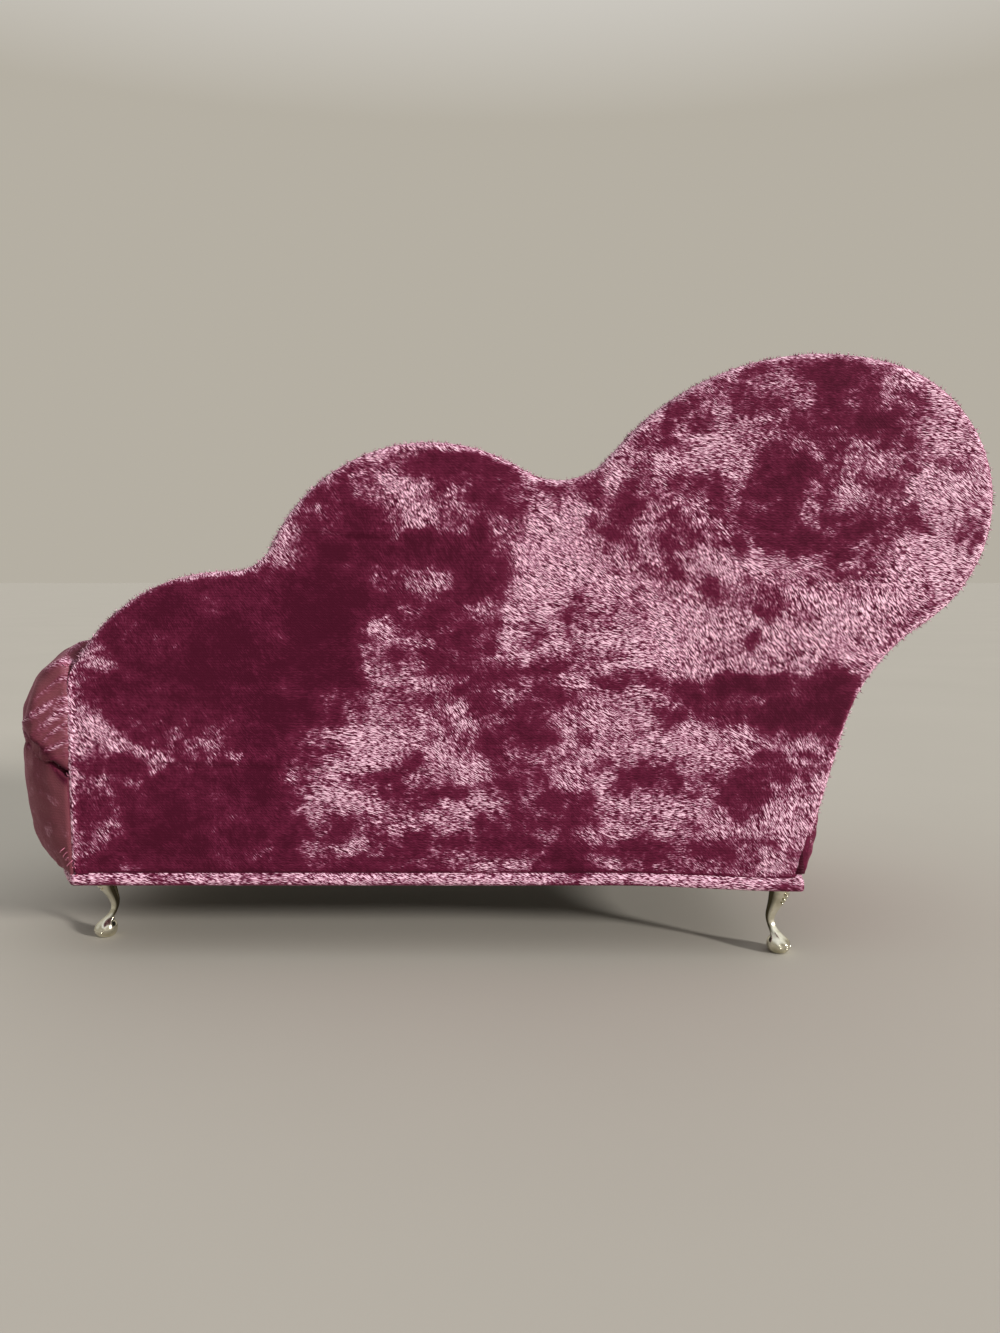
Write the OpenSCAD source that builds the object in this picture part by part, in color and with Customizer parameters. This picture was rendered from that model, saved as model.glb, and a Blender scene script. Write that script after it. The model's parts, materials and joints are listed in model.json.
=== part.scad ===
// Miniature chaise longue, upholstered in crushed velvet over a board carcass, on four cast metal legs.
// The head end is at -X, the bowed foot end at +X, and the sitter faces -Y.

/* [Base] */
// Length of the base along its back edge
base_length = 234; // [224:1:244]
// Depth of the base from back to front
base_depth = 116; // [106:1:124]
// How far the foot end bows out past its corners
foot_bow = 18; // [14:1:22]
// Radius of the front corner at the foot end
foot_corner_r = 16; // [10:1:22]
// Radius of the front corner at the head end
head_corner_r = 7; // [5:0.5:9]
// Thickness of the base board
base_board_t = 3; // [2:0.5:5]
// Thickness of the velvet stretched round the base board
wrap_t = 0.5; // [0.4:0.1:0.8]
// Width of the velvet turned over and under the base board
turn_in = 13; // [12:0.5:16]

/* [Seat box] */
// Thickness of the rails
rail_t = 4; // [3:0.5:5]
// Height of the rails
rail_h = 31; // [26:1:36]
// Thickness of the seat deck
deck_t = 3; // [2:0.5:4]
// Leg length of the glue blocks in the corners of the box
block_leg = 9; // [6:1:12]
// Bulge of the padded side at the foot and the front
side_bulge = 11.5; // [8:0.5:14]
// Bulge of the padded side at the head
head_bulge = 10.5; // [7:0.5:12]
// Distance from a back corner over which the padding swells
swell_length = 26; // [20:1:34]

/* [Seat cushion] */
// Height of the cushion at its crown
cushion_h = 42; // [36:1:48]
// Overhang of the cushion past the base at its fullest
cushion_overhang = 12; // [9:0.5:15]
// Width over which the cushion's free edge rounds up to the crown
cushion_round = 47; // [40:1:50]
// How far the cushion slopes down past its seam, towards the foot
cushion_slope = 7.5; // [5:0.5:10]

/* [Back panel] */
// Thickness of the back board
back_board_t = 4; // [3:0.5:6]
// Thickness of the wadding on the outside of the back board
back_wadding_t = 1.2; // [0.8:0.1:2]
// Low lobe: distance of its centre from the foot corner
low_lobe_d = 51; // [49:0.5:53]
// Low lobe: height of its centre above the base
low_lobe_z = 41.5; // [39:0.5:44]
// Low lobe: radius
low_lobe_r = 54.5; // [53:0.5:57]
// Middle lobe: how far its centre lies from the middle of the base, towards the foot end
mid_lobe_shift = 2; // [-1:0.5:5]
// Middle lobe: height of its centre above the base
mid_lobe_z = 81.5; // [79:0.5:84]
// Middle lobe: radius
mid_lobe_r = 54.5; // [52:0.5:57]
// Head lobe: how far its centre lies past the head corner
head_lobe_past = 12; // [9:0.5:15]
// Head lobe: height of its centre above the base
head_lobe_z = 117; // [114:0.5:120]
// Head lobe: radius at its outer side
head_lobe_r = 44.5; // [42:0.5:47]
// Head lobe: radius of its long upper slope
crown_r = 83; // [79:1:87]
// Radius of the hollow under the head lobe
neck_r = 57; // [54:1:60]
// Radius of the hollow between the low and the middle lobe
low_valley_r = 14; // [11:1:17]
// Radius of the hollow between the middle and the head lobe
high_valley_r = 20.5; // [17:0.5:24]
// Radius of the shoulder above the foot edge
shoulder_r = 25; // [22:1:28]

/* [Inside back] */
// Thickness of the inside back padding
pad_t = 9; // [7:0.5:12]
// Distance over which its edge is rounded off
pad_roll = 15; // [12:1:18]
// Spacing of the buttons along a row
button_pitch = 36; // [32:1:40]
// Spacing of the button rows
button_row = 23; // [20:1:26]
// Height of the lowest button row above the base
button_z = 96; // [92:1:100]
// Least distance from a button to the edge of the padding
button_margin = 16; // [14:1:18]
// Depth of each tuft
tuft_depth = 4.5; // [3:0.5:5.5]
// Radius of a covered button
button_r = 3; // [2.5:0.25:3.5]
// Height of a covered button
button_h = 2.2; // [1.6:0.1:2.8]

/* [Head rest] */
// How far the head rest stands in from the edge of the back panel
head_inset = 1.5; // [1:0.25:3]
// Radius of the roll at the top
roll_r = 17; // [15:0.5:19]
// Thickness of the head rest where it meets the seat
head_foot_t = 38; // [34:1:42]
// Crown of its padded face
head_crown = 4; // [2:0.5:6]
// Thickness of its padding
head_pad_t = 4; // [3:0.5:5]
// Thickness of the two profile formers
former_t = 3; // [2:0.5:4]
// Thickness of the board that is bent round the formers
bent_board_t = 1.5; // [1:0.25:2]
// Thickness of the facing board on the front
facing_t = 2; // [1.5:0.25:3]
// How far the facing stands in from the edge of the profile
facing_inset = 3; // [2:0.5:4]

/* [Legs] */
// Height of the legs
leg_height = 24; // [20:1:28]
// Half the width of a leg at its knee
leg_knee = 4.2; // [3.6:0.1:4.8]
// Half the width of the ankle
leg_ankle = 1.3; // [1:0.1:1.8]
// Half the width of the pad foot
leg_pad = 3.7; // [3.2:0.1:4.2]
// How far the knee and the pad stand out from the ankle
leg_sweep = 3.6; // [3:0.1:4.2]
// Radius of the pin on top of a leg
pin_r = 1.25; // [1:0.05:1.6]
// Inset of the head end legs from both edges
leg_head_inset = 6.5; // [6:0.5:10]
// Inset of the foot end legs from the front and back edges
leg_foot_inset = 21; // [17:1:25]
// Distance of the foot end legs from the foot corners, along the base
leg_foot_d = 3; // [1:1:8]

/* [Fabric] */
// Thickness of the velvet with its pile
velvet_t = 0.8; // [0.6:0.1:1]
// Thickness of the wadding where the velvet is drawn tight over an edge
thin_wadding = 1.2; // [0.8:0.1:1.6]
// Clearance between fitted pieces
fit = 0.1; // [0.05:0.05:0.2]
// Clearance between soft pieces that lie side by side
soft_gap = 0.3; // [0.2:0.05:0.4]

/* [Hidden] */
$fn = 48;

velvet_colour = [0.50, 0.17, 0.30];
board_colour = [0.72, 0.60, 0.44];
wadding_colour = [0.93, 0.92, 0.88];
metal_colour = [0.78, 0.77, 0.70];
lining_colour = [0.12, 0.11, 0.12];

// Heights from the floor
base_z = leg_height;
box_z = base_z + base_board_t + 2 * wrap_t;
deck_z = box_z + rail_h;
seat_z = deck_z + deck_t;
seat_rel = rail_h + deck_t;

// Distances of the lobes' centres from the foot corner
mid_lobe_d = base_length / 2 - mid_lobe_shift;
head_lobe_d = base_length + head_lobe_past;

// The model is centred on its own length and depth
free_reach = max(cushion_overhang + soft_gap, side_bulge + velvet_t + fit);
foot_x = (head_lobe_d + head_lobe_r - foot_bow - free_reach) / 2;
head_x = foot_x - base_length;
rear_y = (base_depth + free_reach) / 2;
front_y = rear_y - base_depth;
mid_y = (rear_y + front_y) / 2;

// Layers of the back, from its rear surface forwards
board_rear_y = rear_y - velvet_t - back_wadding_t;
board_front_y = board_rear_y - back_board_t;
pad_front_y = board_front_y - pad_t - velvet_t;

// Helpers for points and arcs
function dir(a) = [cos(a), sin(a)];
function angle(v) = atan2(v.y, v.x);
function arc(c, r, a0, a1, n) = [for (i = [0:n]) c + r * dir(a0 + (a1 - a0) * i / n)];
function unit(v) = v / norm(v);
function mix(a, b, t) = a + (b - a) * t;
function clamp01(t) = min(1, max(0, t));
function round_edge(t) = let (c = clamp01(t)) sqrt(1 - (1 - c) * (1 - c));

// The crossing of two circles that lies to the left of the line from c0 to c1
function crossing(c0, r0, c1, r1) =
    let (d = norm(c1 - c0), e = (c1 - c0) / d, a = (r0 * r0 - r1 * r1 + d * d) / (2 * d))
    c0 + a * e + sqrt(r0 * r0 - a * a) * [-e.y, e.x];

// A closed skin between two grids of points with the same rows and columns: a outside and b inside
module between_grids(a, b) {
    rows = len(a);
    cols = len(a[0]);
    function at(side, i, j) = (side * rows + i) * cols + j;
    quads = concat(
        [for (i = [0:rows - 2], j = [0:cols - 2])
            [at(0, i, j), at(0, i, j + 1), at(0, i + 1, j + 1), at(0, i + 1, j)]],
        [for (i = [0:rows - 2], j = [0:cols - 2])
            [at(1, i, j), at(1, i + 1, j), at(1, i + 1, j + 1), at(1, i, j + 1)]],
        [for (j = [0:cols - 2]) [at(0, 0, j), at(1, 0, j), at(1, 0, j + 1), at(0, 0, j + 1)]],
        [for (j = [0:cols - 2])
            [at(0, rows - 1, j), at(0, rows - 1, j + 1), at(1, rows - 1, j + 1), at(1, rows - 1, j)]],
        [for (i = [0:rows - 2]) [at(0, i, 0), at(0, i + 1, 0), at(1, i + 1, 0), at(1, i, 0)]],
        [for (i = [0:rows - 2])
            [at(0, i, cols - 1), at(1, i, cols - 1), at(1, i + 1, cols - 1), at(0, i + 1, cols - 1)]]);
    polyhedron([for (row = a) each row, for (row = b) each row], in_triangles(quads));
}

// A closed skin round rings of points, from the bottom ring up. Its two ends close in the points low and high
module round_rings(rings, low, high) {
    n = len(rings[0]);
    count = len(rings) * n;
    polyhedron(concat([for (ring = rings) each ring], [low, high]),
        concat(ring_walls(rings, 0), fan(0, n, count), turned(fan(count - n, n, count + 1))));
}

// A cap of cloth: outer rings from the open bottom edge up, with inner rings inside them. The two layers are
// joined along the bottom edge and close at the top in the points outer_top and inner_top
module capped_rings(outer, inner, outer_top, inner_top) {
    n = len(outer[0]);
    count = len(outer) * n;
    rim = in_triangles([for (j = [0:n - 1]) [j, (j + 1) % n, count + (j + 1) % n, count + j]]);
    points = concat([for (ring = outer) each ring], [for (ring = inner) each ring], [outer_top, inner_top]);
    polyhedron(points,
        concat(ring_walls(outer, 0), turned(ring_walls(inner, count)), rim,
            turned(fan(count - n, n, 2 * count)), fan(2 * count - n, n, 2 * count + 1)));
}

// The triangles between n points from number start on, in a closed ring, and the point with the number centre
function fan(start, n, centre) = [for (j = [0:n - 1]) [start + j, start + (j + 1) % n, centre]];
function turned(faces) = [for (f = faces) [f[0], f[2], f[1]]];
function in_triangles(quads) = [for (q = quads) each [[q[0], q[1], q[2]], [q[0], q[2], q[3]]]];
function ring_walls(rings, start) =
    let (n = len(rings[0]))
    in_triangles([for (i = [0:len(rings) - 2], j = [0:n - 1])
        let (k = (j + 1) % n, low = start + i * n, high = low + n)
        [low + j, high + j, high + k, low + k]]);

// Plan of the base. The foot end is one arc through both foot corners
bow_r = (base_depth * base_depth / 4 + foot_bow * foot_bow) / (2 * foot_bow);
bow_c = [foot_x + foot_bow - bow_r, mid_y];
foot_round_c = [bow_c.x + sqrt(pow(bow_r - foot_corner_r, 2) - pow(base_depth / 2 - foot_corner_r, 2)),
    front_y + foot_corner_r];
head_round_c = [head_x + head_corner_r, front_y + head_corner_r];
foot_round_a = angle(foot_round_c - bow_c);
function bow_start(i) = asin((base_depth / 2 - i) / (bow_r - i));
function bow_arc(i, n) = arc(bow_c, bow_r - i, bow_start(i), foot_round_a, n);
function foot_round(i, n) = arc(foot_round_c, foot_corner_r - i, foot_round_a, -90, n);
function head_round(i, n) = arc(head_round_c, head_corner_r - i, -90, -180, n);

// The closed plan, drawn in by i, from the rear foot corner round the front to the rear head corner
function plan(i) = concat(bow_arc(i, 16), foot_round(i, 6), head_round(i, 5), [[head_x + i, rear_y - i]]);

// Places round the free sides, each with its outward direction and the bulge that the padding has there
side_steps = concat(
    [for (k = [0:13]) let (a = bow_start(0) + (foot_round_a - bow_start(0)) * pow(k / 13, 1.4))
        [bow_c + bow_r * dir(a), dir(a)]],
    [for (k = [1:4]) let (a = foot_round_a + (-90 - foot_round_a) * k / 4)
        [foot_round_c + foot_corner_r * dir(a), dir(a)]],
    [for (k = [1:6]) [[foot_round_c.x + (head_round_c.x - foot_round_c.x) * k / 6, front_y], [0, -1]]],
    [for (k = [1:3]) let (a = -90 - 90 * k / 3) [head_round_c + head_corner_r * dir(a), dir(a)]],
    [for (k = [1:7]) [[head_x, mix(head_round_c.y, rear_y, 1 - pow(1 - k / 7, 1.4))], [-1, 0]]]);
function swell(p) = round_edge((rear_y - p.y) / swell_length);
function local_bulge(s) = swell(s[0]) * (s[1].x < -0.5 ? head_bulge : side_bulge);

// Section of the padded side, from the base's lower edge up to the crease: its reach and its height
side_top_z = seat_z - fit;
side_full_z = seat_z - 5;
side_drop = side_full_z - base_z - wrap_t;
side_section = concat(
    [for (k = [0:6]) let (a = 90 - 90 * k / 6)
        [pow(cos(a), 1.2), side_full_z - side_drop * pow(sin(a), 0.8)]],
    [[0.93, seat_z - 2], [0.7, side_top_z]]);

// Outline of the back panel, in distance d from the foot corner towards the head and height h above the base
crown_tangent_a = 75;
neck_tangent_a = -57;
panel_setback = 0.5;
low_c = [low_lobe_d, low_lobe_z];
mid_c = [mid_lobe_d, mid_lobe_z];
head_c = [head_lobe_d, head_lobe_z];
crown_c = head_c - (crown_r - head_lobe_r) * dir(crown_tangent_a);
neck_c = head_c + (head_lobe_r + neck_r) * dir(neck_tangent_a);
shoulder_c = [shoulder_r,
    low_lobe_z + sqrt(pow(low_lobe_r - shoulder_r, 2) - pow(low_lobe_d - shoulder_r, 2))];
low_valley_c = crossing(low_c, low_lobe_r + low_valley_r, mid_c, mid_lobe_r + low_valley_r);
high_valley_c = crossing(mid_c, mid_lobe_r + high_valley_r, crown_c, crown_r + high_valley_r);
head_corner = [base_length - panel_setback, 0];
edge_a = angle(neck_c - head_corner) + asin(neck_r / norm(neck_c - head_corner));
edge_normal_a = edge_a + 90;

// The point of the leaning head edge at height h, with the outline drawn in by i
function head_edge(i, h) =
    let (q = head_corner + i * dir(edge_normal_a)) q + dir(edge_a) * (h - q.y) / sin(edge_a);

// The whole outline, drawn in by i along its curves and by b along its bottom edge
function back_outline(i, b) = concat(
    [[i, b]],
    arc(shoulder_c, shoulder_r - i, 180, angle(shoulder_c - low_c), 6),
    arc(low_c, low_lobe_r - i, angle(shoulder_c - low_c), angle(low_valley_c - low_c), 14),
    arc(low_valley_c, low_valley_r + i, angle(low_c - low_valley_c), angle(mid_c - low_valley_c), 6),
    arc(mid_c, mid_lobe_r - i, angle(low_valley_c - mid_c), angle(high_valley_c - mid_c), 18),
    arc(high_valley_c, high_valley_r + i, angle(mid_c - high_valley_c), angle(crown_c - high_valley_c), 8),
    arc(crown_c, crown_r - i, angle(high_valley_c - crown_c), crown_tangent_a, 12),
    arc(head_c, head_lobe_r - i, crown_tangent_a, neck_tangent_a, 24),
    arc(neck_c, neck_r + i, neck_tangent_a + 180, edge_normal_a, 8),
    [head_edge(i, b)]);

// Height of the outline's top edge at distance d, drawn in by i
function top_edge(d, i) =
    d < (low_c + (low_lobe_r - i) * unit(shoulder_c - low_c)).x ? hill(shoulder_c, shoulder_r - i, d) :
    d < (low_c + (low_lobe_r - i) * unit(low_valley_c - low_c)).x ? hill(low_c, low_lobe_r - i, d) :
    d < (mid_c + (mid_lobe_r - i) * unit(low_valley_c - mid_c)).x ? hill(low_valley_c, -low_valley_r - i, d) :
    d < (mid_c + (mid_lobe_r - i) * unit(high_valley_c - mid_c)).x ? hill(mid_c, mid_lobe_r - i, d) :
    d < (crown_c + (crown_r - i) * unit(high_valley_c - crown_c)).x ?
        hill(high_valley_c, -high_valley_r - i, d) :
    d < (crown_c + (crown_r - i) * dir(crown_tangent_a)).x ? hill(crown_c, crown_r - i, d) :
    hill(head_c, head_lobe_r - i, d);
function hill(c, r, d) = c.y + sign(r) * sqrt(max(0, r * r - (d - c.x) * (d - c.x)));

// Profile of the head rest in the same d and h: e is the depth below the surface of its cover
roll_c = head_c + [head_lobe_r - head_inset - roll_r, 0];
face_foot = [head_edge(head_inset, seat_rel).x - head_foot_t, seat_rel];
face_a = angle(roll_c - face_foot) + asin(roll_r / norm(roll_c - face_foot));
face_out = dir(face_a + 90);
face_len = sqrt(pow(norm(roll_c - face_foot), 2) - roll_r * roll_r);
function face_point(e, t) =
    face_foot + dir(face_a) * face_len * t + face_out * (4 * head_crown * t * (1 - t) - e);
function head_profile(e, h) = concat(
    [head_edge(head_inset + e, h)],
    arc(neck_c, neck_r + head_inset + e, edge_normal_a, neck_tangent_a + 180, 8),
    arc(head_c, head_lobe_r - head_inset - e, neck_tangent_a, 0, 10),
    arc(roll_c, roll_r - e, 0, face_a + 90, 16),
    [for (k = [1:8]) let (t = 1 - k / 9) face_point(e, t)],
    [[face_foot.x + e / sin(face_a), h]]);

// From d and h to the model's own X and Z
function to_xz(p) = [foot_x - p.x, box_z + p.y];

// A plate that stands in the plane of the back, from y_rear forwards by t
module standing_plate(points, y_rear, t) {
    translate([0, y_rear, 0]) rotate([90, 0, 0]) linear_extrude(t) polygon([for (p = points) to_xz(p)]);
}

// A flat board with the plan drawn in by i
module plan_plate(i, z, t) {
    translate([0, 0, z]) linear_extrude(t) polygon(plan(i));
}

// Legs: a cabriole leg that faces angle a in plan, with its pin, centred on the pin
pin_len = wrap_t + base_board_t;
leg_stations = [
    [0.025, 1.00, 0.93 * leg_pad], [0.07, 1.00, leg_pad], [0.12, 0.92, 0.96 * leg_pad],
    [0.17, 0.72, 0.72 * leg_pad], [0.23, 0.45, 0.50 * leg_pad], [0.30, 0.18, 1.10 * leg_ankle],
    [0.38, 0.03, leg_ankle], [0.47, 0.08, 1.15 * leg_ankle], [0.56, 0.30, 0.48 * leg_knee],
    [0.65, 0.58, 0.68 * leg_knee], [0.74, 0.82, 0.86 * leg_knee], [0.83, 0.95, leg_knee],
    [0.91, 0.92, 1.04 * leg_knee], [0.96, 0.80, 1.02 * leg_knee], [1, 0.72, leg_knee]];
pin_offset = 0.72 * leg_sweep;
leg_sides = 12;
foot_disc_r = 0.72 * leg_pad;

module leg(a) {
    rings = [for (s = leg_stations)
        [for (k = [0:leg_sides - 1]) [s[1] * leg_sweep + s[2] * cos(360 * k / leg_sides),
            s[2] * sin(360 * k / leg_sides), s[0] * leg_height]]];
    low = leg_stations[0];
    high = leg_stations[len(leg_stations) - 1];
    rotate([0, 0, a]) {
        translate([-pin_offset, 0, 0]) round_rings(rings, [low[1] * leg_sweep, 0, low[0] * leg_height],
            [high[1] * leg_sweep, 0, high[0] * leg_height]);
        translate([leg_sweep - pin_offset, 0, 0]) cylinder(r = foot_disc_r, h = 0.06 * leg_height);
        translate([0, 0, 0.9 * leg_height]) cylinder(r = pin_r, h = 0.1 * leg_height + pin_len);
    }
}

leg_head_x = head_x + leg_head_inset;
leg_foot_x = foot_x - leg_foot_d;
leg_places = [[leg_head_x, rear_y - leg_head_inset], [leg_foot_x, rear_y - leg_foot_inset],
    [leg_head_x, front_y + leg_head_inset], [leg_foot_x, front_y + leg_foot_inset]];
head_leg_turn = 45;
foot_leg_turn = 25;

module leg_rear_head() { color(metal_colour) translate(leg_places[0]) leg(180 - head_leg_turn); }
module leg_rear_foot() { color(metal_colour) translate(leg_places[1]) leg(foot_leg_turn); }
module leg_front_head() { color(metal_colour) translate(leg_places[2]) leg(180 + head_leg_turn); }
module leg_front_foot() { color(metal_colour) translate(leg_places[3]) leg(-foot_leg_turn); }

module pin_bores() {
    for (p = leg_places) translate([p.x, p.y, base_z - 1]) cylinder(r = pin_r + fit / 2, h = pin_len + 2);
}

// Base board, with its velvet wrap and the lining under it
module base_board() {
    color(board_colour) difference() {
        plan_plate(wrap_t, base_z + wrap_t, base_board_t);
        pin_bores();
    }
}

module base_cover() {
    color(velvet_colour) difference() {
        plan_plate(0, base_z, base_board_t + 2 * wrap_t);
        plan_plate(wrap_t, base_z + wrap_t, base_board_t);
        translate([0, 0, base_z - 1])
            linear_extrude(base_board_t + 4) offset(delta = -turn_in) polygon(plan(0));
        pin_bores();
    }
}

module underside_lining() {
    color(lining_colour) difference() {
        translate([0, 0, base_z]) linear_extrude(wrap_t) offset(delta = -turn_in - fit) polygon(plan(0));
        pin_bores();
    }
}

// Box of rails on the base, with glue blocks in its corners and the seat deck on top
rail_inset = velvet_t + thin_wadding;
rear_rail_y = board_front_y - rail_t;
rail_foot_x = foot_round_c.x;

module rear_rail() {
    color(board_colour) translate([head_x + rail_inset, rear_rail_y, box_z])
        cube([base_length - 2 * rail_inset, rail_t, rail_h]);
}

module front_rail() {
    color(board_colour) translate([head_x + rail_inset + rail_t, front_y + rail_inset, box_z])
        cube([rail_foot_x - head_x - rail_inset - rail_t, rail_t, rail_h]);
}

module head_rail() {
    color(board_colour) intersection() {
        plan_plate(rail_inset, box_z, rail_h);
        translate([head_x, front_y, box_z]) cube([rail_inset + rail_t, rear_rail_y - front_y, rail_h]);
    }
}

module foot_former() {
    color(board_colour) intersection() {
        difference() {
            plan_plate(rail_inset, box_z, rail_h);
            plan_plate(rail_inset + rail_t, box_z - 1, rail_h + 2);
        }
        translate([rail_foot_x, front_y, box_z - 1])
            cube([base_length, rear_rail_y - front_y, rail_h + 2]);
    }
}

module corner_block(p, q) {
    translate([p.x, p.y, box_z]) linear_extrude(rail_h)
        polygon([[0, 0], [q.x * block_leg, 0], [0, q.y * block_leg]]);
}

module corner_blocks() {
    inner_head_x = head_x + rail_inset + rail_t;
    inner_front_y = front_y + rail_inset + rail_t;
    bow_at_rear = bow_c.x + sqrt(pow(bow_r - rail_inset - rail_t, 2) - pow(rear_rail_y - mid_y, 2));
    color(board_colour) {
        corner_block([inner_head_x, rear_rail_y], [1, -1]);
        corner_block([inner_head_x, inner_front_y], [1, 1]);
        corner_block([bow_at_rear, rear_rail_y], [-1, -1]);
        corner_block([rail_foot_x, inner_front_y], [-1, 1]);
    }
}

module seat_deck() {
    color(board_colour) intersection() {
        plan_plate(rail_inset, deck_z, deck_t);
        translate([head_x, front_y, deck_z - 1])
            cube([base_length + foot_bow, board_front_y - front_y, deck_t + 2]);
    }
}

// Padded sides: a roll of wadding round the foot, the front and the head, and the velvet over it
function side_point(s, reach, z) = [s[0].x + s[1].x * reach, s[0].y + s[1].y * reach, z];
function side_outer(s, k) = side_section[k][0] * local_bulge(s) + fit + velvet_t;

module side_wadding() {
    last = len(side_section) - 1;
    zs = [for (k = [0:last]) max(side_section[k][1], box_z) + k * fit / 10];
    color(wadding_colour) between_grids(
        [for (k = [0:last])
            [for (s = side_steps) side_point(s, max(fit, side_outer(s, k) - velvet_t - fit), zs[k])]],
        [for (k = [0:last]) [for (s = side_steps) side_point(s, soft_gap - rail_inset, zs[k])]]);
}

module side_cover() {
    color(velvet_colour) between_grids(
        [for (k = [0:len(side_section) - 1])
            [for (s = side_steps) side_point(s, side_outer(s, k), side_section[k][1])]],
        [for (k = [0:len(side_section) - 1])
            [for (s = side_steps) side_point(s, side_outer(s, k) - velvet_t, side_section[k][1])]]);
}

// Seat cushion. Its rear foot corner fills the space beside the back panel, up to the seam on its edge
seat_rear_y = pad_front_y - soft_gap;
seat_under_z = seat_z + soft_gap;
seat_lip_h = 3.5;
crown_z = seat_z + cushion_h;
crown_rise = 1.2;
crown_n = cushion_round + 14;
ridge_r = 8;
tuck = 0.35;
slope_run = 12;
slope_h = 25;
seam_hold = 1.4;
ridge_foot = [foot_x - 22, seat_rear_y - 0.37 * (seat_rear_y - front_y)];
seam_x = foot_x + soft_gap;
seam_y = rear_y - velvet_t;
head_front_out = 5;

// Distance d of the head rest's crowned face at height h
function face_d(h) =
    let (rise = face_len * sin(face_a), arch = 4 * head_crown * cos(face_a), up = h - face_foot.y,
        t = ((rise + arch) - sqrt(pow(rise + arch, 2) - 4 * arch * up)) / (2 * arch))
    face_point(0, t).x;

// The foot end of the cushion's edge at its fullest, from the seam round to the front
foot_edge = concat(
    [for (k = [1:11]) let (a = bow_start(0) + (foot_round_a - bow_start(0)) * pow(k / 11, 1.3),
            p = bow_c + bow_r * dir(a))
        p + (soft_gap + cushion_overhang * swell(p)) * dir(a)],
    [for (k = [1:4]) let (a = foot_round_a + (-90 - foot_round_a) * k / 4)
        foot_round_c + (foot_corner_r + cushion_overhang) * dir(a)]);

// Place of the edge's point p when the edge is drawn in by n: it goes straight forwards beside the back, then
// to the ridge. Point 0 is the seam on the panel's edge, which holds the first points back
function drawn_in(p, k, n, depth) =
    let (turn = [p.x, min(p.y, seat_rear_y - 1)], first = p.y - turn.y, rest = norm(ridge_foot - turn),
        way = held(k, n) + (first + rest - ridge_r - crown_n) * pow(n / crown_n, 2) + depth)
    way < first ? p - [0, way] : turn + (ridge_foot - turn) * (way - first) / rest;
function held(k, n) = n * pow(min(1, n / cushion_round), seam_hold * pow(1 - min(1, k / 6), 2));

// Outline of the cushion at height z, at a depth under its surface. It is drawn in by n where its edge is
// free and by less where it is tucked in against the back and the head rest
function seat_outline(n, depth, z) =
    let (rear = seat_rear_y - tuck * n - depth,
        head = foot_x - face_d(max(seat_rel, z - box_z)) + soft_gap + tuck * n + depth,
        seam = drawn_in([seam_x + depth, seam_y], 0, n, depth),
        foot = [for (k = [0:len(foot_edge) - 1]) drawn_in(foot_edge[k], k + 1, n, depth)],
        front = foot[len(foot) - 1])
    concat([seam], foot, points_on(front, [head, front.y], 8), points_on([head, front.y], [head, rear], 8),
        points_on([head, rear], [seam_x - tuck * held(0, n) + depth, rear], 9));
function points_on(p, q, n) = [for (i = [1:n]) mix(p, q, i / n)];

// Rings of the cushion: how far each is drawn in, its height, and the direction of its cover's thickness
seat_full_z = seat_under_z + seat_lip_h;
seat_rings = concat(
    [[6, seat_under_z, [0, -1]], [1.2, seat_under_z + 0.8, [0.7, -0.7]], [0, seat_full_z, [1, 0]]],
    [for (a = [14, 26, 38, 50, 62, 75, 90]) [cushion_round * (1 - pow(cos(a), 0.8)),
        mix(seat_full_z, crown_z, pow(sin(a), 0.8)), [cos(a), sin(a)]]],
    [[crown_n, crown_z + crown_rise, [0, 1]]]);

// One ring, at a depth below the cover's surface, in the turning sense that the skins need. Beside the seam the
// cushion slopes down towards the foot
function seat_ring(ring, depth) =
    let (z = ring[1] - depth * ring[2].y, points = seat_outline(ring[0], depth * ring[2].x, z))
    [for (k = [len(points) - 1:-1:0]) [points[k].x, points[k].y, z - sloped(points[k].x, z)]];
function sloped(x, z) =
    cushion_slope * clamp01((x - seam_x) / slope_run) * clamp01((z - seat_full_z) / slope_h);
function seat_rings_at(depth) = [for (ring = seat_rings) seat_ring(ring, depth)];
function seat_top(depth) = [ridge_foot.x - 10, ridge_foot.y, crown_z + crown_rise - depth];

module seat_filling() {
    under = [foot_x - 5, ridge_foot.y, seat_under_z + velvet_t + fit];
    color(wadding_colour) round_rings(seat_rings_at(velvet_t + fit), under, seat_top(velvet_t + fit));
}

module seat_cover() {
    color(velvet_colour)
        capped_rings(seat_rings_at(0), seat_rings_at(velvet_t), seat_top(0), seat_top(velvet_t));
}

// Back panel: a board with thin wadding behind it, inside a velvet cover that turns over its edge
module back_board() {
    color(board_colour) standing_plate(back_outline(velvet_t, velvet_t), board_rear_y, back_board_t);
}

module back_wadding() {
    color(wadding_colour) standing_plate(back_outline(velvet_t, velvet_t), rear_y - velvet_t, back_wadding_t);
}

module back_cover() {
    color(velvet_colour) difference() {
        standing_plate(back_outline(0, 0), rear_y, rear_y - board_front_y);
        standing_plate(back_outline(velvet_t, velvet_t), rear_y - velvet_t, rear_y - board_front_y + 1);
    }
}

// Inside back: padding on the front of the board, rounded off along the outline and drawn in at the buttons
pad_inset = 0.6;
pad_edge_t = 0.5;
pad_step = button_pitch / 6;
pad_rows = 8;
pad_hidden_h = 62;
tuft_width = 7.5;
pad_first = floor((mid_lobe_d - pad_inset) / pad_step);
pad_last = floor((roll_c.x + 2 - mid_lobe_d) / pad_step);

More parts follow.
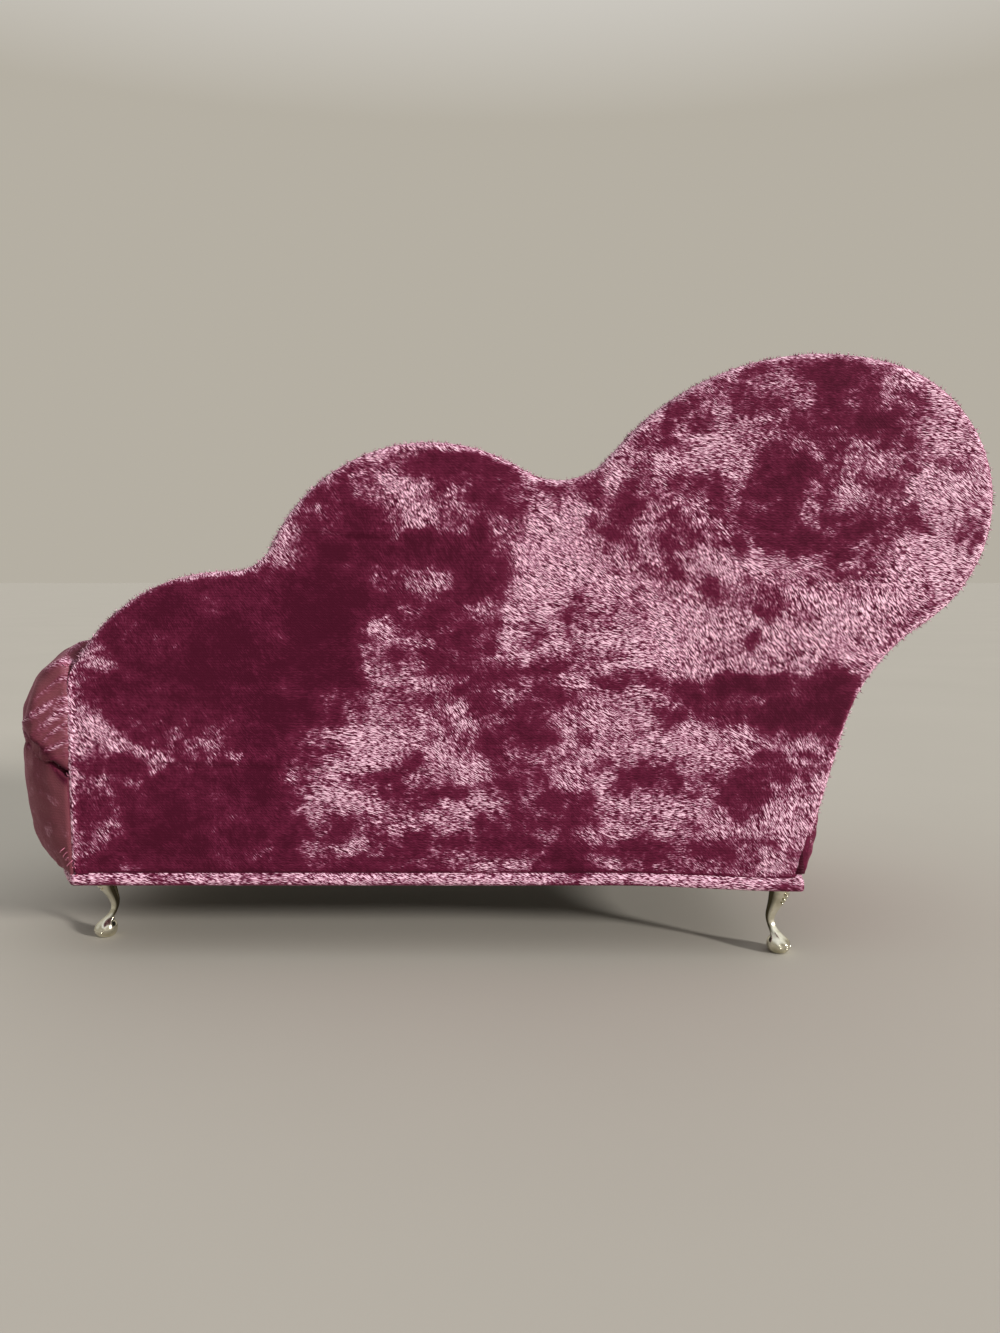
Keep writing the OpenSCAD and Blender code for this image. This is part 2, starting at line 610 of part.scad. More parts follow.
// Height of the head rest's surface at distance d, or of the deck before it
function face_h(d) =
    let (run = face_len * cos(face_a), arch = 4 * head_crown * sin(face_a), along = max(0, d - face_foot.x),
        t = (arch - run + sqrt(pow(run - arch, 2) + 4 * arch * along)) / (2 * arch))
    d < face_foot.x ? seat_rel : face_point(0, t).y;
function roll_top(d) = roll_c.y + sqrt(max(0, roll_r * roll_r - (d - roll_c.x) * (d - roll_c.x)));
function pad_low(d) = soft_gap + (d > roll_c.x + roll_r * face_out.x ? roll_top(d) : face_h(d));
function pad_high(d) = top_edge(d, pad_inset);

button_places = [for (row = [0:2], k = [-4:5])
    let (p = [mid_lobe_d + (k + (row % 2) / 2) * button_pitch, button_z + row * button_row])
    if (p.x > button_margin && p.x < roll_c.x - button_margin
        && p.y < top_edge(p.x, button_margin) && p.y > pad_low(p.x) + button_margin / 2) p];
function tuft(p) = max([for (b = button_places) tuft_depth * exp(-pow(norm(p - b) / tuft_width, 2))]);
function pad_depth(p) =
    mix(pad_edge_t, pad_t, round_edge(min(pad_high(p.x) - p.y, p.x - pad_inset) / pad_roll)) - tuft(p);

// Heights of the points in one column of the padding. The nearest one to a button is moved onto it
function pad_heights(d) =
    let (low = pad_low(d), high = pad_high(d), start = max(low + 1, min(pad_hidden_h, 0.7 * high)))
    concat([low], [for (i = [1:pad_rows]) high - (high - start) * pow(1 - (i - 1) / (pad_rows - 1), 1.5)]);
function pad_column(d) =
    let (hs = pad_heights(d), own = [for (b = button_places) if (abs(b.x - d) < pad_step / 2) b.y])
    [for (h = hs) let (hit = [for (y = own) if (abs(h - y) == min([for (other = hs) abs(other - y)])) y])
        [d, len(hit) > 0 ? hit[0] : h]];
pad_columns = concat([for (j = [pad_last:-1:-pad_first]) pad_column(mid_lobe_d + j * pad_step)],
    [pad_column(pad_inset)]);
function pad_layer(depth) = [for (i = [0:pad_rows])
    [for (column = pad_columns) let (p = column[i])
        [foot_x - p.x, board_front_y - (depth < 0 ? 0 : pad_depth(p) + depth), box_z + p.y]]];

module inside_back_filling() {
    color(wadding_colour) between_grids(pad_layer(-1), pad_layer(0));
}

module inside_back_cover() {
    color(velvet_colour) between_grids(pad_layer(fit), pad_layer(fit + velvet_t));
}

// A button stands on the slope of its tuft
function button_seat(p) =
    max([for (a = [0:45:315]) mix(pad_depth(p), pad_depth(p + pad_step * dir(a)), button_r / pad_step)])
    + velvet_t + 2 * fit;

module back_buttons() {
    color(velvet_colour) for (p = button_places)
        translate([foot_x - p.x, board_front_y - button_seat(p), box_z + p.y])
            rotate([90, 0, 0]) cylinder(r1 = button_r, r2 = button_r / 2, h = button_h);
}

// Head rest: two profile formers with a bent board round them, wadding, velvet, and a facing on the front
head_rear_y = board_front_y;
head_front_y = front_y - head_front_out;
bent_board_e = velvet_t + fit + head_pad_t;
former_e = bent_board_e + bent_board_t;
head_len = head_rear_y - head_front_y;
head_z_gap = fit;

module head_plate(e, y_rear, t) {
    standing_plate(head_profile(e, seat_rel + head_z_gap), y_rear, t);
}

module head_former_rear() {
    color(board_colour) head_plate(former_e, head_rear_y, former_t);
}

module head_former_front() {
    color(board_colour) head_plate(former_e, head_front_y + velvet_t + former_t, former_t);
}

module head_bent_board() {
    color(board_colour) difference() {
        head_plate(bent_board_e, head_rear_y, head_len - velvet_t);
        standing_plate(head_profile(former_e, seat_rel - 1), head_rear_y + 1, head_len + 2);
    }
}

module head_filling() {
    color(wadding_colour) difference() {
        head_plate(velvet_t + fit, head_rear_y, head_len - velvet_t);
        standing_plate(head_profile(bent_board_e, seat_rel - 1), head_rear_y + 1, head_len + 2);
    }
}

module head_cover() {
    color(velvet_colour) difference() {
        head_plate(0, head_rear_y, head_len);
        standing_plate(head_profile(velvet_t, seat_rel - 1), head_rear_y + 1, head_len - velvet_t + 1);
        standing_plate(head_profile(former_e, seat_rel - 1), head_rear_y + 1, head_len + 2);
    }
}

module head_facing_board() {
    color(board_colour) head_plate(facing_inset + velvet_t, head_front_y, facing_t);
}

module head_facing_cover() {
    color(velvet_colour) difference() {
        head_plate(facing_inset, head_front_y, facing_t + velvet_t);
        standing_plate(head_profile(facing_inset + velvet_t, seat_rel - 1), head_front_y + 1, facing_t + 1);
    }
}

leg_rear_head();
leg_rear_foot();
leg_front_head();
leg_front_foot();
base_board();
base_cover();
underside_lining();
rear_rail();
front_rail();
head_rail();
foot_former();
corner_blocks();
seat_deck();
side_wadding();
side_cover();
seat_filling();
seat_cover();
back_board();
back_wadding();
back_cover();
inside_back_filling();
inside_back_cover();
back_buttons();
head_former_front();
head_former_rear();
head_bent_board();
head_filling();
head_cover();
head_facing_board();
head_facing_cover();
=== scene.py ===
import json
import math
from functools import partial

import bmesh
import bpy
import numpy as np
from mathutils import Matrix, Vector, geometry, noise


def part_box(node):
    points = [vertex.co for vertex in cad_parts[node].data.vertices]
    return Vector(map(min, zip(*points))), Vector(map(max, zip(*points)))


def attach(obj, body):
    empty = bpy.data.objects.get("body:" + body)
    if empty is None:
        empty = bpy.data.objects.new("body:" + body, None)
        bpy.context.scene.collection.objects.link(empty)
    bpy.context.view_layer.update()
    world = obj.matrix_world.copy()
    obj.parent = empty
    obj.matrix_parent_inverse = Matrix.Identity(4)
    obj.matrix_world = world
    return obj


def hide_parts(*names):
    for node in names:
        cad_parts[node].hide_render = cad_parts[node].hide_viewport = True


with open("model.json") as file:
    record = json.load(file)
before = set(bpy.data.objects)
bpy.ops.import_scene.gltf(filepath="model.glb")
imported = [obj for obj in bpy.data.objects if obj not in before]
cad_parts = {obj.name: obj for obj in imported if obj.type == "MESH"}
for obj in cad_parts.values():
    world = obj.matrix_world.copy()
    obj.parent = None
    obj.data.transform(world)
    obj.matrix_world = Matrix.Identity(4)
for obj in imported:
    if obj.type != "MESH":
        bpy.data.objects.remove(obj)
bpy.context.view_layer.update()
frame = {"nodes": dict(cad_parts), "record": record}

bl_info = {
    "name": "Velvet chaise longue",
    "version": (1, 0, 0),
    "blender": (4, 5, 0),
    "location": "View3D > Sidebar > Chaise",
    "description": "Dresses the frame of a miniature chaise longue in crushed velvet, with cast legs",
    "category": "Add Mesh",
}

MM = 0.001  # the shapes are worked out in millimetres and made in metres

# The material of each of the record's slots
FINISHES = {"velvet": "crushed_velvet", "wadding": "polyester_wadding", "board": "sawn_fibreboard",
            "lining": "black_lining_cloth", "cast_metal": "polished_white_metal"}


# Places that come from the frame, in millimetres
def corner(node, side):
    """The lowest (side 0) or highest (side 1) corner of a CAD node."""
    return np.array(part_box(node)[side]) / MM


BOARD_Y, REAR_Y = [corner("back_cover", side)[1] for side in (0, 1)]
BASE_LOW, BASE_HIGH = [corner("base_cover", side) for side in (0, 1)]
BOX_Z = BASE_HIGH[2]
HEAD_FRONT_Y = corner("head_facing_cover", 0)[1]
SEAM_X = corner("back_cover", 1)[0]
SEAM = np.array([SEAM_X, REAR_Y - 0.8])  # the sewn edge of the panel at the foot, in x and y


# Settings
def srgb(code):
    """The three values, from 0 to 1, of an sRGB hex colour."""
    return tuple(int(code[k:k + 2], 16) / 255 for k in (1, 3, 5))


def tint(name, description, default):
    """A colour setting, with its default as an sRGB hex value."""
    return bpy.props.FloatVectorProperty(name=name, description=description, subtype="COLOR_GAMMA", size=3,
                                         default=srgb(default))


def length(name, description, default, low, high):
    """A length setting, in metres."""
    return bpy.props.FloatProperty(name=name, description=description, subtype="DISTANCE", default=default,
                                   min=low, max=high)


class VelvetSettings(bpy.types.PropertyGroup):
    """The velvet's colours and the sizes of its pile"""
    deep: tint("Deep", "Colour of the pile seen from its tips, in the darkest patches", "#450521")
    body: tint("Body", "Colour of the dark patches", "#661a39")
    turn: tint("Turn", "Colour where the nap turns", "#8f4d6a")
    # Painted reflection: the pale sheen of laid nap.
    light: tint("Light", "Colour of the laid nap", "#c791ab")
    # Painted sheen: the even colour of calm pile seen at a slant.
    calm_and_sheen: tint("Calm", "Colour of calm pile seen at a slant", "#7d474f")
    # Painted highlight: glints of single tufts.
    glint: tint("Glint", "Colour of single bright tufts", "#ffd4e9")
    patch: length("Patch size", "Size of the crushed patches", 0.019, 0.01, 0.08)
    tuft_length: length("Tuft length", "Length of a lock of pile", 0.00148, 0.0005, 0.004)
    tuft_width: length("Tuft width", "Width of a lock of pile", 0.00021, 0.0001, 0.001)
    edge_pile: length("Edge pile", "Length of the pile that stands out of an edge", 0.0012, 0.0003, 0.003)
    course: length("Course pitch", "Distance between the knitted courses", 0.00085, 0.0004, 0.002)


class CoverSettings(bpy.types.PropertyGroup):
    """How the velvet lies over what it covers"""
    edge_round: length("Edge rounding", "Radius of the velvet over the panel's edge", 0.0022, 0.0005, 0.003)
    puff: length("Puff", "How far the wadding lifts the velvet behind the panel", 0.0006, 0, 0.002)
    gather: length("Gathers", "Depth of the gathers along the sewn seams", 0.0009, 0, 0.003)


class StitchSettings(bpy.types.PropertyGroup):
    """The sewing thread"""
    pitch: length("Pitch", "Distance between two stitches", 0.0027, 0.001, 0.006)
    thread: length("Thread", "Radius of the thread", 0.00016, 0.0001, 0.0006)
    colour: tint("Colour", "Colour of the thread", "#9e5c73")


class StageSettings(bpy.types.PropertyGroup):
    """The camera and the floor"""
    eye: bpy.props.FloatVectorProperty(
        name="Camera", description="Place of the camera", subtype="TRANSLATION", size=3,
        default=(-0.00695, 0.3772, 0.1217))
    pitch: bpy.props.FloatProperty(
        name="Pitch", description="How far the camera looks down", subtype="ANGLE", default=math.radians(5))
    lens: bpy.props.FloatProperty(
        name="Lens", description="Focal length on a sensor 36 mm long", default=27.0)
    floor: tint("Floor", "Colour of the paper", "#b3afa6")


# Small helpers for shapes
def smooth(t):
    """A soft step from 0 to 1."""
    t = np.clip(t, 0, 1)
    return t * t * (3 - 2 * t)


def bump(x, width):
    """A soft hump of height 1 at 0."""
    return np.exp(-(x / width) ** 2)


def rounded(t):
    """A quarter circle from 0 at 0 to 1 at 1."""
    t = np.clip(t, 0, 1)
    return np.sqrt(1 - (1 - t) ** 2)


def wander(points, size, octaves=3, seed=0.0):
    """Smooth noise of about -1 to 1 at points in millimetres, with waves of about the given size."""
    off = Vector((seed * 17.3, seed * 5.1, seed * 9.7))
    return np.array([noise.fractal(Vector(p) / size + off, 0.6, 2.0, octaves) for p in points])


def upright(flat, y):
    """Points from places in x and z and their depth: one number, or one for each."""
    return np.column_stack([flat[:, 0], np.broadcast_to(y, len(flat)), flat[:, 1]])


def level(flat, z):
    """Points from places in x and y and their height: one number, or one for each."""
    return np.column_stack([flat, np.broadcast_to(z, len(flat))])


def unit(vector):
    """The same direction with a length of 1."""
    return vector / np.linalg.norm(vector)


def resample(line, step, closed):
    """The same line with points at an even step along it."""
    line = np.asarray(line, float)
    if closed:
        line = np.vstack([line, line[:1]])
    lengths = lengths_along(line)
    count = max(3, int(round(lengths[-1] / step)))
    at = np.linspace(0, lengths[-1], count + 1)
    if closed:
        at = at[:-1]
    return np.column_stack([np.interp(at, lengths, line[:, k]) for k in range(line.shape[1])])


def lengths_along(line):
    """The length of a line up to each of its points."""
    return np.r_[0, np.cumsum(np.linalg.norm(np.diff(line, axis=0), axis=1))]


def normals_of(loop, closed=True):
    """Unit normals of a line, to the right of its direction: outwards where it runs anticlockwise."""
    if closed:
        along = np.roll(loop, -1, axis=0) - np.roll(loop, 1, axis=0)
    else:
        along = np.gradient(loop, axis=0)
    along /= np.linalg.norm(along, axis=1)[:, None] + 1e-12
    return np.column_stack([along[:, 1], -along[:, 0]])


def area_of(loop):
    """Area inside a closed loop, below 0 where it runs clockwise."""
    x, y = loop[:, 0], loop[:, 1]
    return np.sum(x * np.roll(y, -1) - y * np.roll(x, -1)) / 2


def inset_of(points, loop):
    """Distance of each point to a closed loop."""
    ab = np.roll(loop, -1, axis=0) - loop
    square = np.sum(ab ** 2, axis=1) + 1e-12
    best = np.empty(len(points))
    batch = 2000
    for i in range(0, len(points), batch):
        p = points[i:i + batch, None, :]
        t = np.clip(np.sum((p - loop) * ab, axis=2) / square, 0, 1)
        best[i:i + batch] = np.sqrt(np.min(np.sum((p - loop - t[..., None] * ab) ** 2, axis=2), axis=1))
    return best


def inside(points, loop):
    """True for the points inside the loop."""
    x, y = points[:, 0], points[:, 1]
    result = np.zeros(len(points), bool)
    for (x0, y0), (x1, y1) in zip(loop, np.roll(loop, -1, axis=0)):
        if y0 == y1:
            continue
        crosses = (y0 > y) != (y1 > y)
        result ^= crosses & (x < (x1 - x0) * (y - y0) / (y1 - y0) + x0)
    return result


def outline_of(node, axis, side):
    """The longest closed loop of a CAD node's flat face at its lowest (0) or highest (1) place on an axis,
    drawn anticlockwise."""
    mesh = frame["nodes"][node].data
    mesh.calc_loop_triangles()
    points = corners_of(node)
    height = corner(node, side)[axis]
    keep = [k for k in range(3) if k != axis]
    edges, places = set(), {}
    for tri in mesh.loop_triangles:
        p = points[list(tri.vertices)]
        if np.all(abs(p[:, axis] - height) < 0.005):
            keys = [tuple(np.round(q[keep], 2)) for q in p]
            for key, q in zip(keys, p):
                places[key] = q[keep]
            edges |= {(keys[0], keys[1]), (keys[1], keys[2]), (keys[2], keys[0])}
    follow = {a: b for a, b in edges if (b, a) not in edges}
    best, best_length = None, 0
    while follow:
        here = next(iter(follow))
        chain = []
        while here in follow:
            chain.append(places[here])
            here = follow.pop(here)
        chain = np.array(chain)
        chain_length = lengths_along(chain)[-1]
        if chain_length > best_length:
            best, best_length = chain, chain_length
    return best if area_of(best) > 0 else best[::-1].copy()


def corners_of(node):
    """All points of a CAD node's mesh."""
    return np.array([v.co for v in frame["nodes"][node].data.vertices]) / MM


def panel_outline():
    """The back panel's outline in x and z."""
    return resample(outline_of("back_cover", 1, 1), 0.9, closed=True)


def patch(loop, insets, spacing):
    """Fills a closed loop with triangles: rows of points at the given insets, then an even field.
    Returns the points, the triangles, each point's inset and the numbers of the loop's own points."""
    normal = normals_of(loop)
    sets = [loop]
    for inset in insets:
        row = loop - normal * inset
        far = inset_of(row, loop)
        sets.append(row[(far > inset * 0.97) & inside(row, loop)])
    if spacing:
        low, high = loop.min(axis=0), loop.max(axis=0)
        rows = np.arange(low[1], high[1], spacing * 0.866)  # the height of an even triangle
        field = np.array([(x + (spacing / 2 if k % 2 else 0), y)
                          for k, y in enumerate(rows) for x in np.arange(low[0], high[0], spacing)])
        field = field[inside(field, loop)]
        last = insets[-1] if len(insets) else 0
        sets.append(field[inset_of(field, loop) > last + spacing * 0.55])
    points = np.vstack(sets)
    count = len(loop)
    edges = [(k, (k + 1) % count) for k in range(count)]
    spots, _, faces, sources, _, _ = geometry.delaunay_2d_cdt([Vector(p) for p in points], edges, [], 1, 1e-5)
    out = np.array([tuple(v) for v in spots])
    where = np.full(len(points), -1)
    for k, origins in enumerate(sources):
        where[origins] = k
    tris = np.array(faces)
    a, b, c = out[tris[:, 0]], out[tris[:, 1]], out[tris[:, 2]]
    turn = (b[:, 0] - a[:, 0]) * (c[:, 1] - a[:, 1]) - (b[:, 1] - a[:, 1]) * (c[:, 0] - a[:, 0])
    tris[turn < 0] = tris[turn < 0][:, ::-1]
    rim = where[:count]
    distance = inset_of(out, loop)
    distance[rim] = 0
    return out, tris, distance, rim


class Shell:
    """Collects points and faces of one closed mesh, in millimetres."""

    def __init__(self):
        self.points, self.faces, self.count = [], [], 0

    def add_points(self, points):
        """Adds points and returns their numbers."""
        start = self.count
        self.points.append(np.asarray(points, float))
        self.count += len(points)
        return start + np.arange(len(points))

    def add_faces(self, faces):
        """Adds faces, given as point numbers."""
        self.faces += [tuple(int(i) for i in f) for f in faces]

    def grid(self, rows, closed=False):
        """Joins rows of point numbers side by side, as closed rings or as open lines."""
        for a, b in zip(rows[:-1], rows[1:]):
            n = len(a)
            for k in range(n if closed else n - 1):
                j = (k + 1) % n
                self.add_faces([(a[k], a[j], b[j], b[k])])

    def fan(self, row, middle):
        """Closes a ring of point numbers with triangles that meet in one more point."""
        self.add_faces([(row[k], row[(k + 1) % len(row)], middle) for k in range(len(row))])

    def cap(self, loop, y, spacing=0, forward=False):
        """Closes an upright loop with flat faces at a depth, which look forward or back."""
        flat, tris, _, _ = patch(loop, [], spacing)
        numbers = self.add_points(upright(flat, y))
        self.add_faces(numbers[tris][:, ::-1] if forward else numbers[tris])

    def place(self):
        """All its points so far."""
        return np.vstack(self.points)

    def make(self, name):
        """A Blender object of it, with its doubles merged and its faces pointing outwards."""
        mesh = bpy.data.meshes.new(name)
        mesh.from_pydata([tuple(p) for p in self.place() * MM], [], self.faces)
        mesh.validate()
        bm = bmesh.new()
        bm.from_mesh(mesh)
        bmesh.ops.remove_doubles(bm, verts=bm.verts, dist=1e-6)
        bmesh.ops.recalc_face_normals(bm, faces=bm.faces)
        bm.to_mesh(mesh)
        bm.free()
        mesh.shade_smooth()
        return new_piece(name, mesh)


def new_piece(name, data):
    """A Blender object in the scene, with a mesh, light or camera as its data."""
    piece = bpy.data.objects.new(name, data)
    bpy.context.scene.collection.objects.link(piece)
    return piece


def read_vectors(piece, kind):
    """The places ("co") or the directions ("normal") of a piece's points, as Blender holds them."""
    flat = np.empty(len(piece.data.vertices) * 3)
    piece.data.vertices.foreach_get(kind, flat)
    return flat.reshape(-1, 3)


def points_of(piece):
    """A piece's points, in millimetres."""
    return read_vectors(piece, "co") / MM


def vertex_normals(piece):
    """The direction that each of a piece's points faces."""
    return read_vectors(piece, "normal")


def move_points(piece, points):
    """Gives a piece's points new places, in millimetres."""
    piece.data.vertices.foreach_set("co", (points * MM).ravel())
    piece.data.update()


def set_value(piece, name, values):
    """Keeps one number for each point of a piece, which its material can read."""
    layer = piece.data.attributes.new(name, "FLOAT", "POINT")
    layer.data.foreach_set("value", np.broadcast_to(np.asarray(values, float), len(layer.data)))


def set_nap(piece, nap, lean=0.0, calm_and_sheen=0.0):
    """How the pile lies at each point. The nap is laid light (above 0) or dark (below 0), and laid nap is
    painted in the pale colour of its sheen. Its locks lie nearly level (1), nearly upright (-1) or as they
    fall (0). Where it is brushed calm (1), it has no patches and its colour is drawn toward a painted sheen
    of pile seen at a slant."""
    set_value(piece, "nap", nap)
    set_value(piece, "lean", lean)
    set_value(piece, "calm_and_sheen", calm_and_sheen)


def finish_piece(piece, slot, replaces=()):
    """Gives a piece its slot's material if it has none yet and its place on the frame, and hides the CAD
    parts that it replaces.
    """
    if not piece.data.materials:
        piece.data.materials.append(bpy.data.materials[FINISHES[slot]])
    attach(piece, "root")
    if replaces:
        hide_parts(*replaces)


# Materials
def linear(colour):
    """Linear values of an sRGB colour, given as a hex value or as three numbers from 0 to 1."""
    if isinstance(colour, str):
        colour = srgb(colour)
    return tuple(c / 12.92 if c <= 0.04045 else ((c + 0.055) / 1.055) ** 2.4 for c in colour) + (1.0,)


def add(tree, kind, inputs=None, stops=(), **settings):
    """Adds one node, with its settings, the (position, colour) stops of its ramp, and values or links for its
    inputs. A node given as an input stands for its first output."""
    made = tree.nodes.new(kind)
    for name, value in settings.items():
        setattr(made, name, value)
    for name, value in (inputs or {}).items():
        if isinstance(value, bpy.types.Node):
            value = value.outputs[0]
        if isinstance(value, bpy.types.NodeSocket):
            tree.links.new(value, made.inputs[name])
        else:
            made.inputs[name].default_value = value
    if stops:
        elements = made.color_ramp.elements
        while len(elements) < len(stops):
            elements.new(0.5)
        for element, (position, colour) in zip(elements, stops):
            element.position = position
            element.color = linear(colour)
    return made


def start_material(name):
    """A material with an empty tree. Returns what adds its nodes, and its Object coordinates."""
    material = bpy.data.materials.new(name)
    material.use_nodes = True
    material.node_tree.nodes.clear()
    node = partial(add, material.node_tree)
    return node, node("ShaderNodeTexCoord").outputs["Object"]


def end_material(node, look):
    """Ends a material's tree with a Principled shader that has the given inputs."""
    node("ShaderNodeOutputMaterial", {"Surface": node("ShaderNodeBsdfPrincipled", look)})


def locks_of_pile(node, place, lean):
    """Long thin noise: the locks of the pile, at an angle from upright in the plane of the back."""
    s = bpy.context.scene.chaise_velvet
    laid = node("ShaderNodeMapping", {"Vector": place, "Rotation": (0, math.radians(lean), 0),
                                      "Scale": (s.tuft_width, 0.7 * s.tuft_length, s.tuft_length)},
                vector_type="TEXTURE")
    return node("ShaderNodeTexNoise", {"Vector": laid, "Scale": 1.0, "Detail": 1.2, "Roughness": 0.5})


def velvet_material():
    """Crushed polyester velvet on a knitted ground. The pile is crushed in ragged patches: where it stands,
    light sinks in and it looks deep wine red, and where it is laid it throws back a pale mauve in short
    slanted locks. That pale mauve and its glints are painted into the colour as a painted reflection; the
    pattern of the patches is the cloth's own."""
    s = bpy.context.scene.chaise_velvet
    node, place = start_material("crushed_velvet")
    laid, lean, calm_and_sheen = [node("ShaderNodeAttribute", attribute_name=name).outputs["Fac"]
                        for name in ("nap", "lean", "calm_and_sheen")]
    wild = node("ShaderNodeMath", {0: 1.0, 1: calm_and_sheen}, operation="SUBTRACT")

    # Ragged patches, stretched a little sideways as the roller leaves them
    flat = node("ShaderNodeMapping", {"Vector": place, "Rotation": (0, math.radians(-18), 0),
                                      "Scale": (1, 1, 1.5)})
    patches = node("ShaderNodeTexNoise", {"Vector": flat, "Scale": 1 / s.patch, "Detail": 5,
                                          "Roughness": 0.64, "Distortion": 0.25})
    crush = node("ShaderNodeMath", {0: patches, 1: 2.1, 2: -0.76}, operation="MULTIPLY_ADD")
    crush = node("ShaderNodeMath", {0: crush, 1: wild}, operation="MULTIPLY")
    base = node("ShaderNodeMath", {0: crush, 1: laid}, operation="ADD")

    # Grain of about 5 mm roughens the patches' edges
    grain = node("ShaderNodeTexNoise", {"Vector": place, "Scale": 1 / 0.0052, "Detail": 4, "Roughness": 0.66})
    grain = node("ShaderNodeMath", {0: grain, 1: 1.25, 2: -0.625}, operation="MULTIPLY_ADD")
    grain = node("ShaderNodeMath", {0: grain, 1: wild}, operation="MULTIPLY")
    ragged = node("ShaderNodeMath", {0: base, 1: grain}, operation="ADD")

    # Locks that lean three ways, each in its own region, and are bent by up to a few millimetres
    drift = node("ShaderNodeTexNoise", {"Vector": place, "Scale": 1 / (2.7 * s.patch), "Detail": 1})
    region = node("ShaderNodeMapRange", {"Value": drift, "From Min": 0.36, "From Max": 0.64})
    region = node("ShaderNodeMath", {0: region, 1: lean}, operation="ADD")
    sway = node("ShaderNodeVectorMath", {0: drift.outputs["Color"], 1: (0.5, 0.5, 0.5)}, operation="SUBTRACT")
    sway = node("ShaderNodeVectorMath", {0: sway, "Scale": 0.012}, operation="SCALE")
    bent = node("ShaderNodeVectorMath", {0: place, 1: sway}, operation="ADD").outputs[0]
    steep, slanted, lying = [locks_of_pile(node, bent, angle) for angle in (36, 54, 76)]
    low_part = node("ShaderNodeMapRange", {"Value": region, "From Min": 0.28, "From Max": 0.42})
    high_part = node("ShaderNodeMapRange", {"Value": region, "From Min": 0.58, "From Max": 0.72})
    locks = node("ShaderNodeMix", {0: low_part, 2: steep, 3: slanted})
    locks = node("ShaderNodeMix", {0: high_part, 2: locks, 3: lying})

    # The locks show most where the nap is laid, and less where it is brushed calm
    strength = node("ShaderNodeMapRange", {"Value": ragged, "From Min": 0.08, "From Max": 0.52, "To Min": 0.6,
                                           "To Max": 4.1})
    faded = node("ShaderNodeMath", {0: calm_and_sheen, 1: 0.5}, operation="MULTIPLY")
    faded = node("ShaderNodeMath", {0: 1.0, 1: faded}, operation="SUBTRACT")
    strength = node("ShaderNodeMath", {0: strength, 1: faded}, operation="MULTIPLY")
    centred = node("ShaderNodeMath", {0: locks, 1: 0.5}, operation="SUBTRACT")
    tufts = node("ShaderNodeMath", {0: centred, 1: strength}, operation="MULTIPLY")

    # Knitted courses show through faintly
    courses = node("ShaderNodeTexWave", {"Vector": place, "Scale": 0.31 / s.course, "Distortion": 2.2,
                                         "Detail": 2, "Detail Scale": 3},
                   wave_type="BANDS", bands_direction="Z").outputs["Fac"]
    faint = node("ShaderNodeMath", {0: courses, 1: 0.06, 2: -0.03}, operation="MULTIPLY_ADD")

    # From standing pile to laid pile, and then to colour
    standing = node("ShaderNodeMapRange", {"Value": ragged, "From Min": -0.45, "From Max": 0.2,
                                           "To Max": 0.24})
    laying = node("ShaderNodeMapRange", {"Value": ragged, "From Min": 0.18, "From Max": 0.66,
                                         "To Max": 0.32})
    total = node("ShaderNodeMath", {0: standing, 1: laying}, operation="ADD")
    total = node("ShaderNodeMath", {0: total, 1: tufts}, operation="ADD")
    total = node("ShaderNodeMath", {0: total, 1: faint}, operation="ADD")
    # The light and glint stops are painted reflection: the pale sheen of laid pile and its glints.
    colour = node("ShaderNodeValToRGB", {"Fac": total}, [(0.05, s.deep), (0.28, s.body), (0.48, s.turn),
                                                         (0.68, s.light), (0.92, s.glint)])
    # Calm pile is drawn toward the painted sheen of pile seen at a slant.
    sheen_mix = node("ShaderNodeMath", {0: calm_and_sheen, 1: 0.75}, operation="MULTIPLY")
    colour = node("ShaderNodeMix", {0: sheen_mix, 6: colour, 7: linear(s.calm_and_sheen)}, data_type="RGBA").outputs[2]
    rough = node("ShaderNodeMapRange", {"Value": total, "From Min": 0.2, "From Max": 0.9, "To Min": 0.85,
                                        "To Max": 0.5})
    low_relief = node("ShaderNodeMath", {0: courses, 1: 0.25}, operation="MULTIPLY")
    height = node("ShaderNodeMath", {0: locks, 1: low_relief}, operation="ADD")
    relief = node("ShaderNodeBump", {"Height": height, "Strength": 0.5, "Distance": 0.0003})
    end_material(node, {"Base Color": colour, "Roughness": rough, "Normal": relief, "Sheen Weight": 0.6,
                        "Sheen Roughness": 0.3, "Sheen Tint": linear("#dca2b2"), "Specular IOR Level": 0.15})


def metal_material():
    """Cast white metal, polished: bright and slightly yellow, with soft casting marks of about 1 mm, stains
    of about 6 mm, and painted shade on the casting's hollowed back, away from its ridge."""
    node, place = start_material("polished_white_metal")
    marks = node("ShaderNodeTexNoise", {"Vector": place, "Scale": 900, "Detail": 5, "Roughness": 0.65})
    stain = node("ShaderNodeTexNoise", {"Vector": place, "Scale": 160, "Detail": 3})
    bright = node("ShaderNodeValToRGB", {"Fac": stain},
                  [(0.30, "#b8b39c"), (0.48, "#e6e2ce"), (0.70, "#fbf8ea")])
    # Painted shade: a dark colour on the back of the casting, for the shade and dark reflections there.
    painted_shade = node("ShaderNodeAttribute", attribute_name="painted_shade").outputs["Fac"]
    colour = node("ShaderNodeMix", {0: painted_shade, 6: bright, 7: linear("#4c4636")}, data_type="RGBA").outputs[2]
    rough = node("ShaderNodeMapRange", {"Value": marks, "To Min": 0.06, "To Max": 0.30})
    relief = node("ShaderNodeBump", {"Height": marks, "Strength": 0.25, "Distance": 0.0001})
    end_material(node, {"Base Color": colour, "Roughness": rough, "Normal": relief, "Metallic": 1.0})


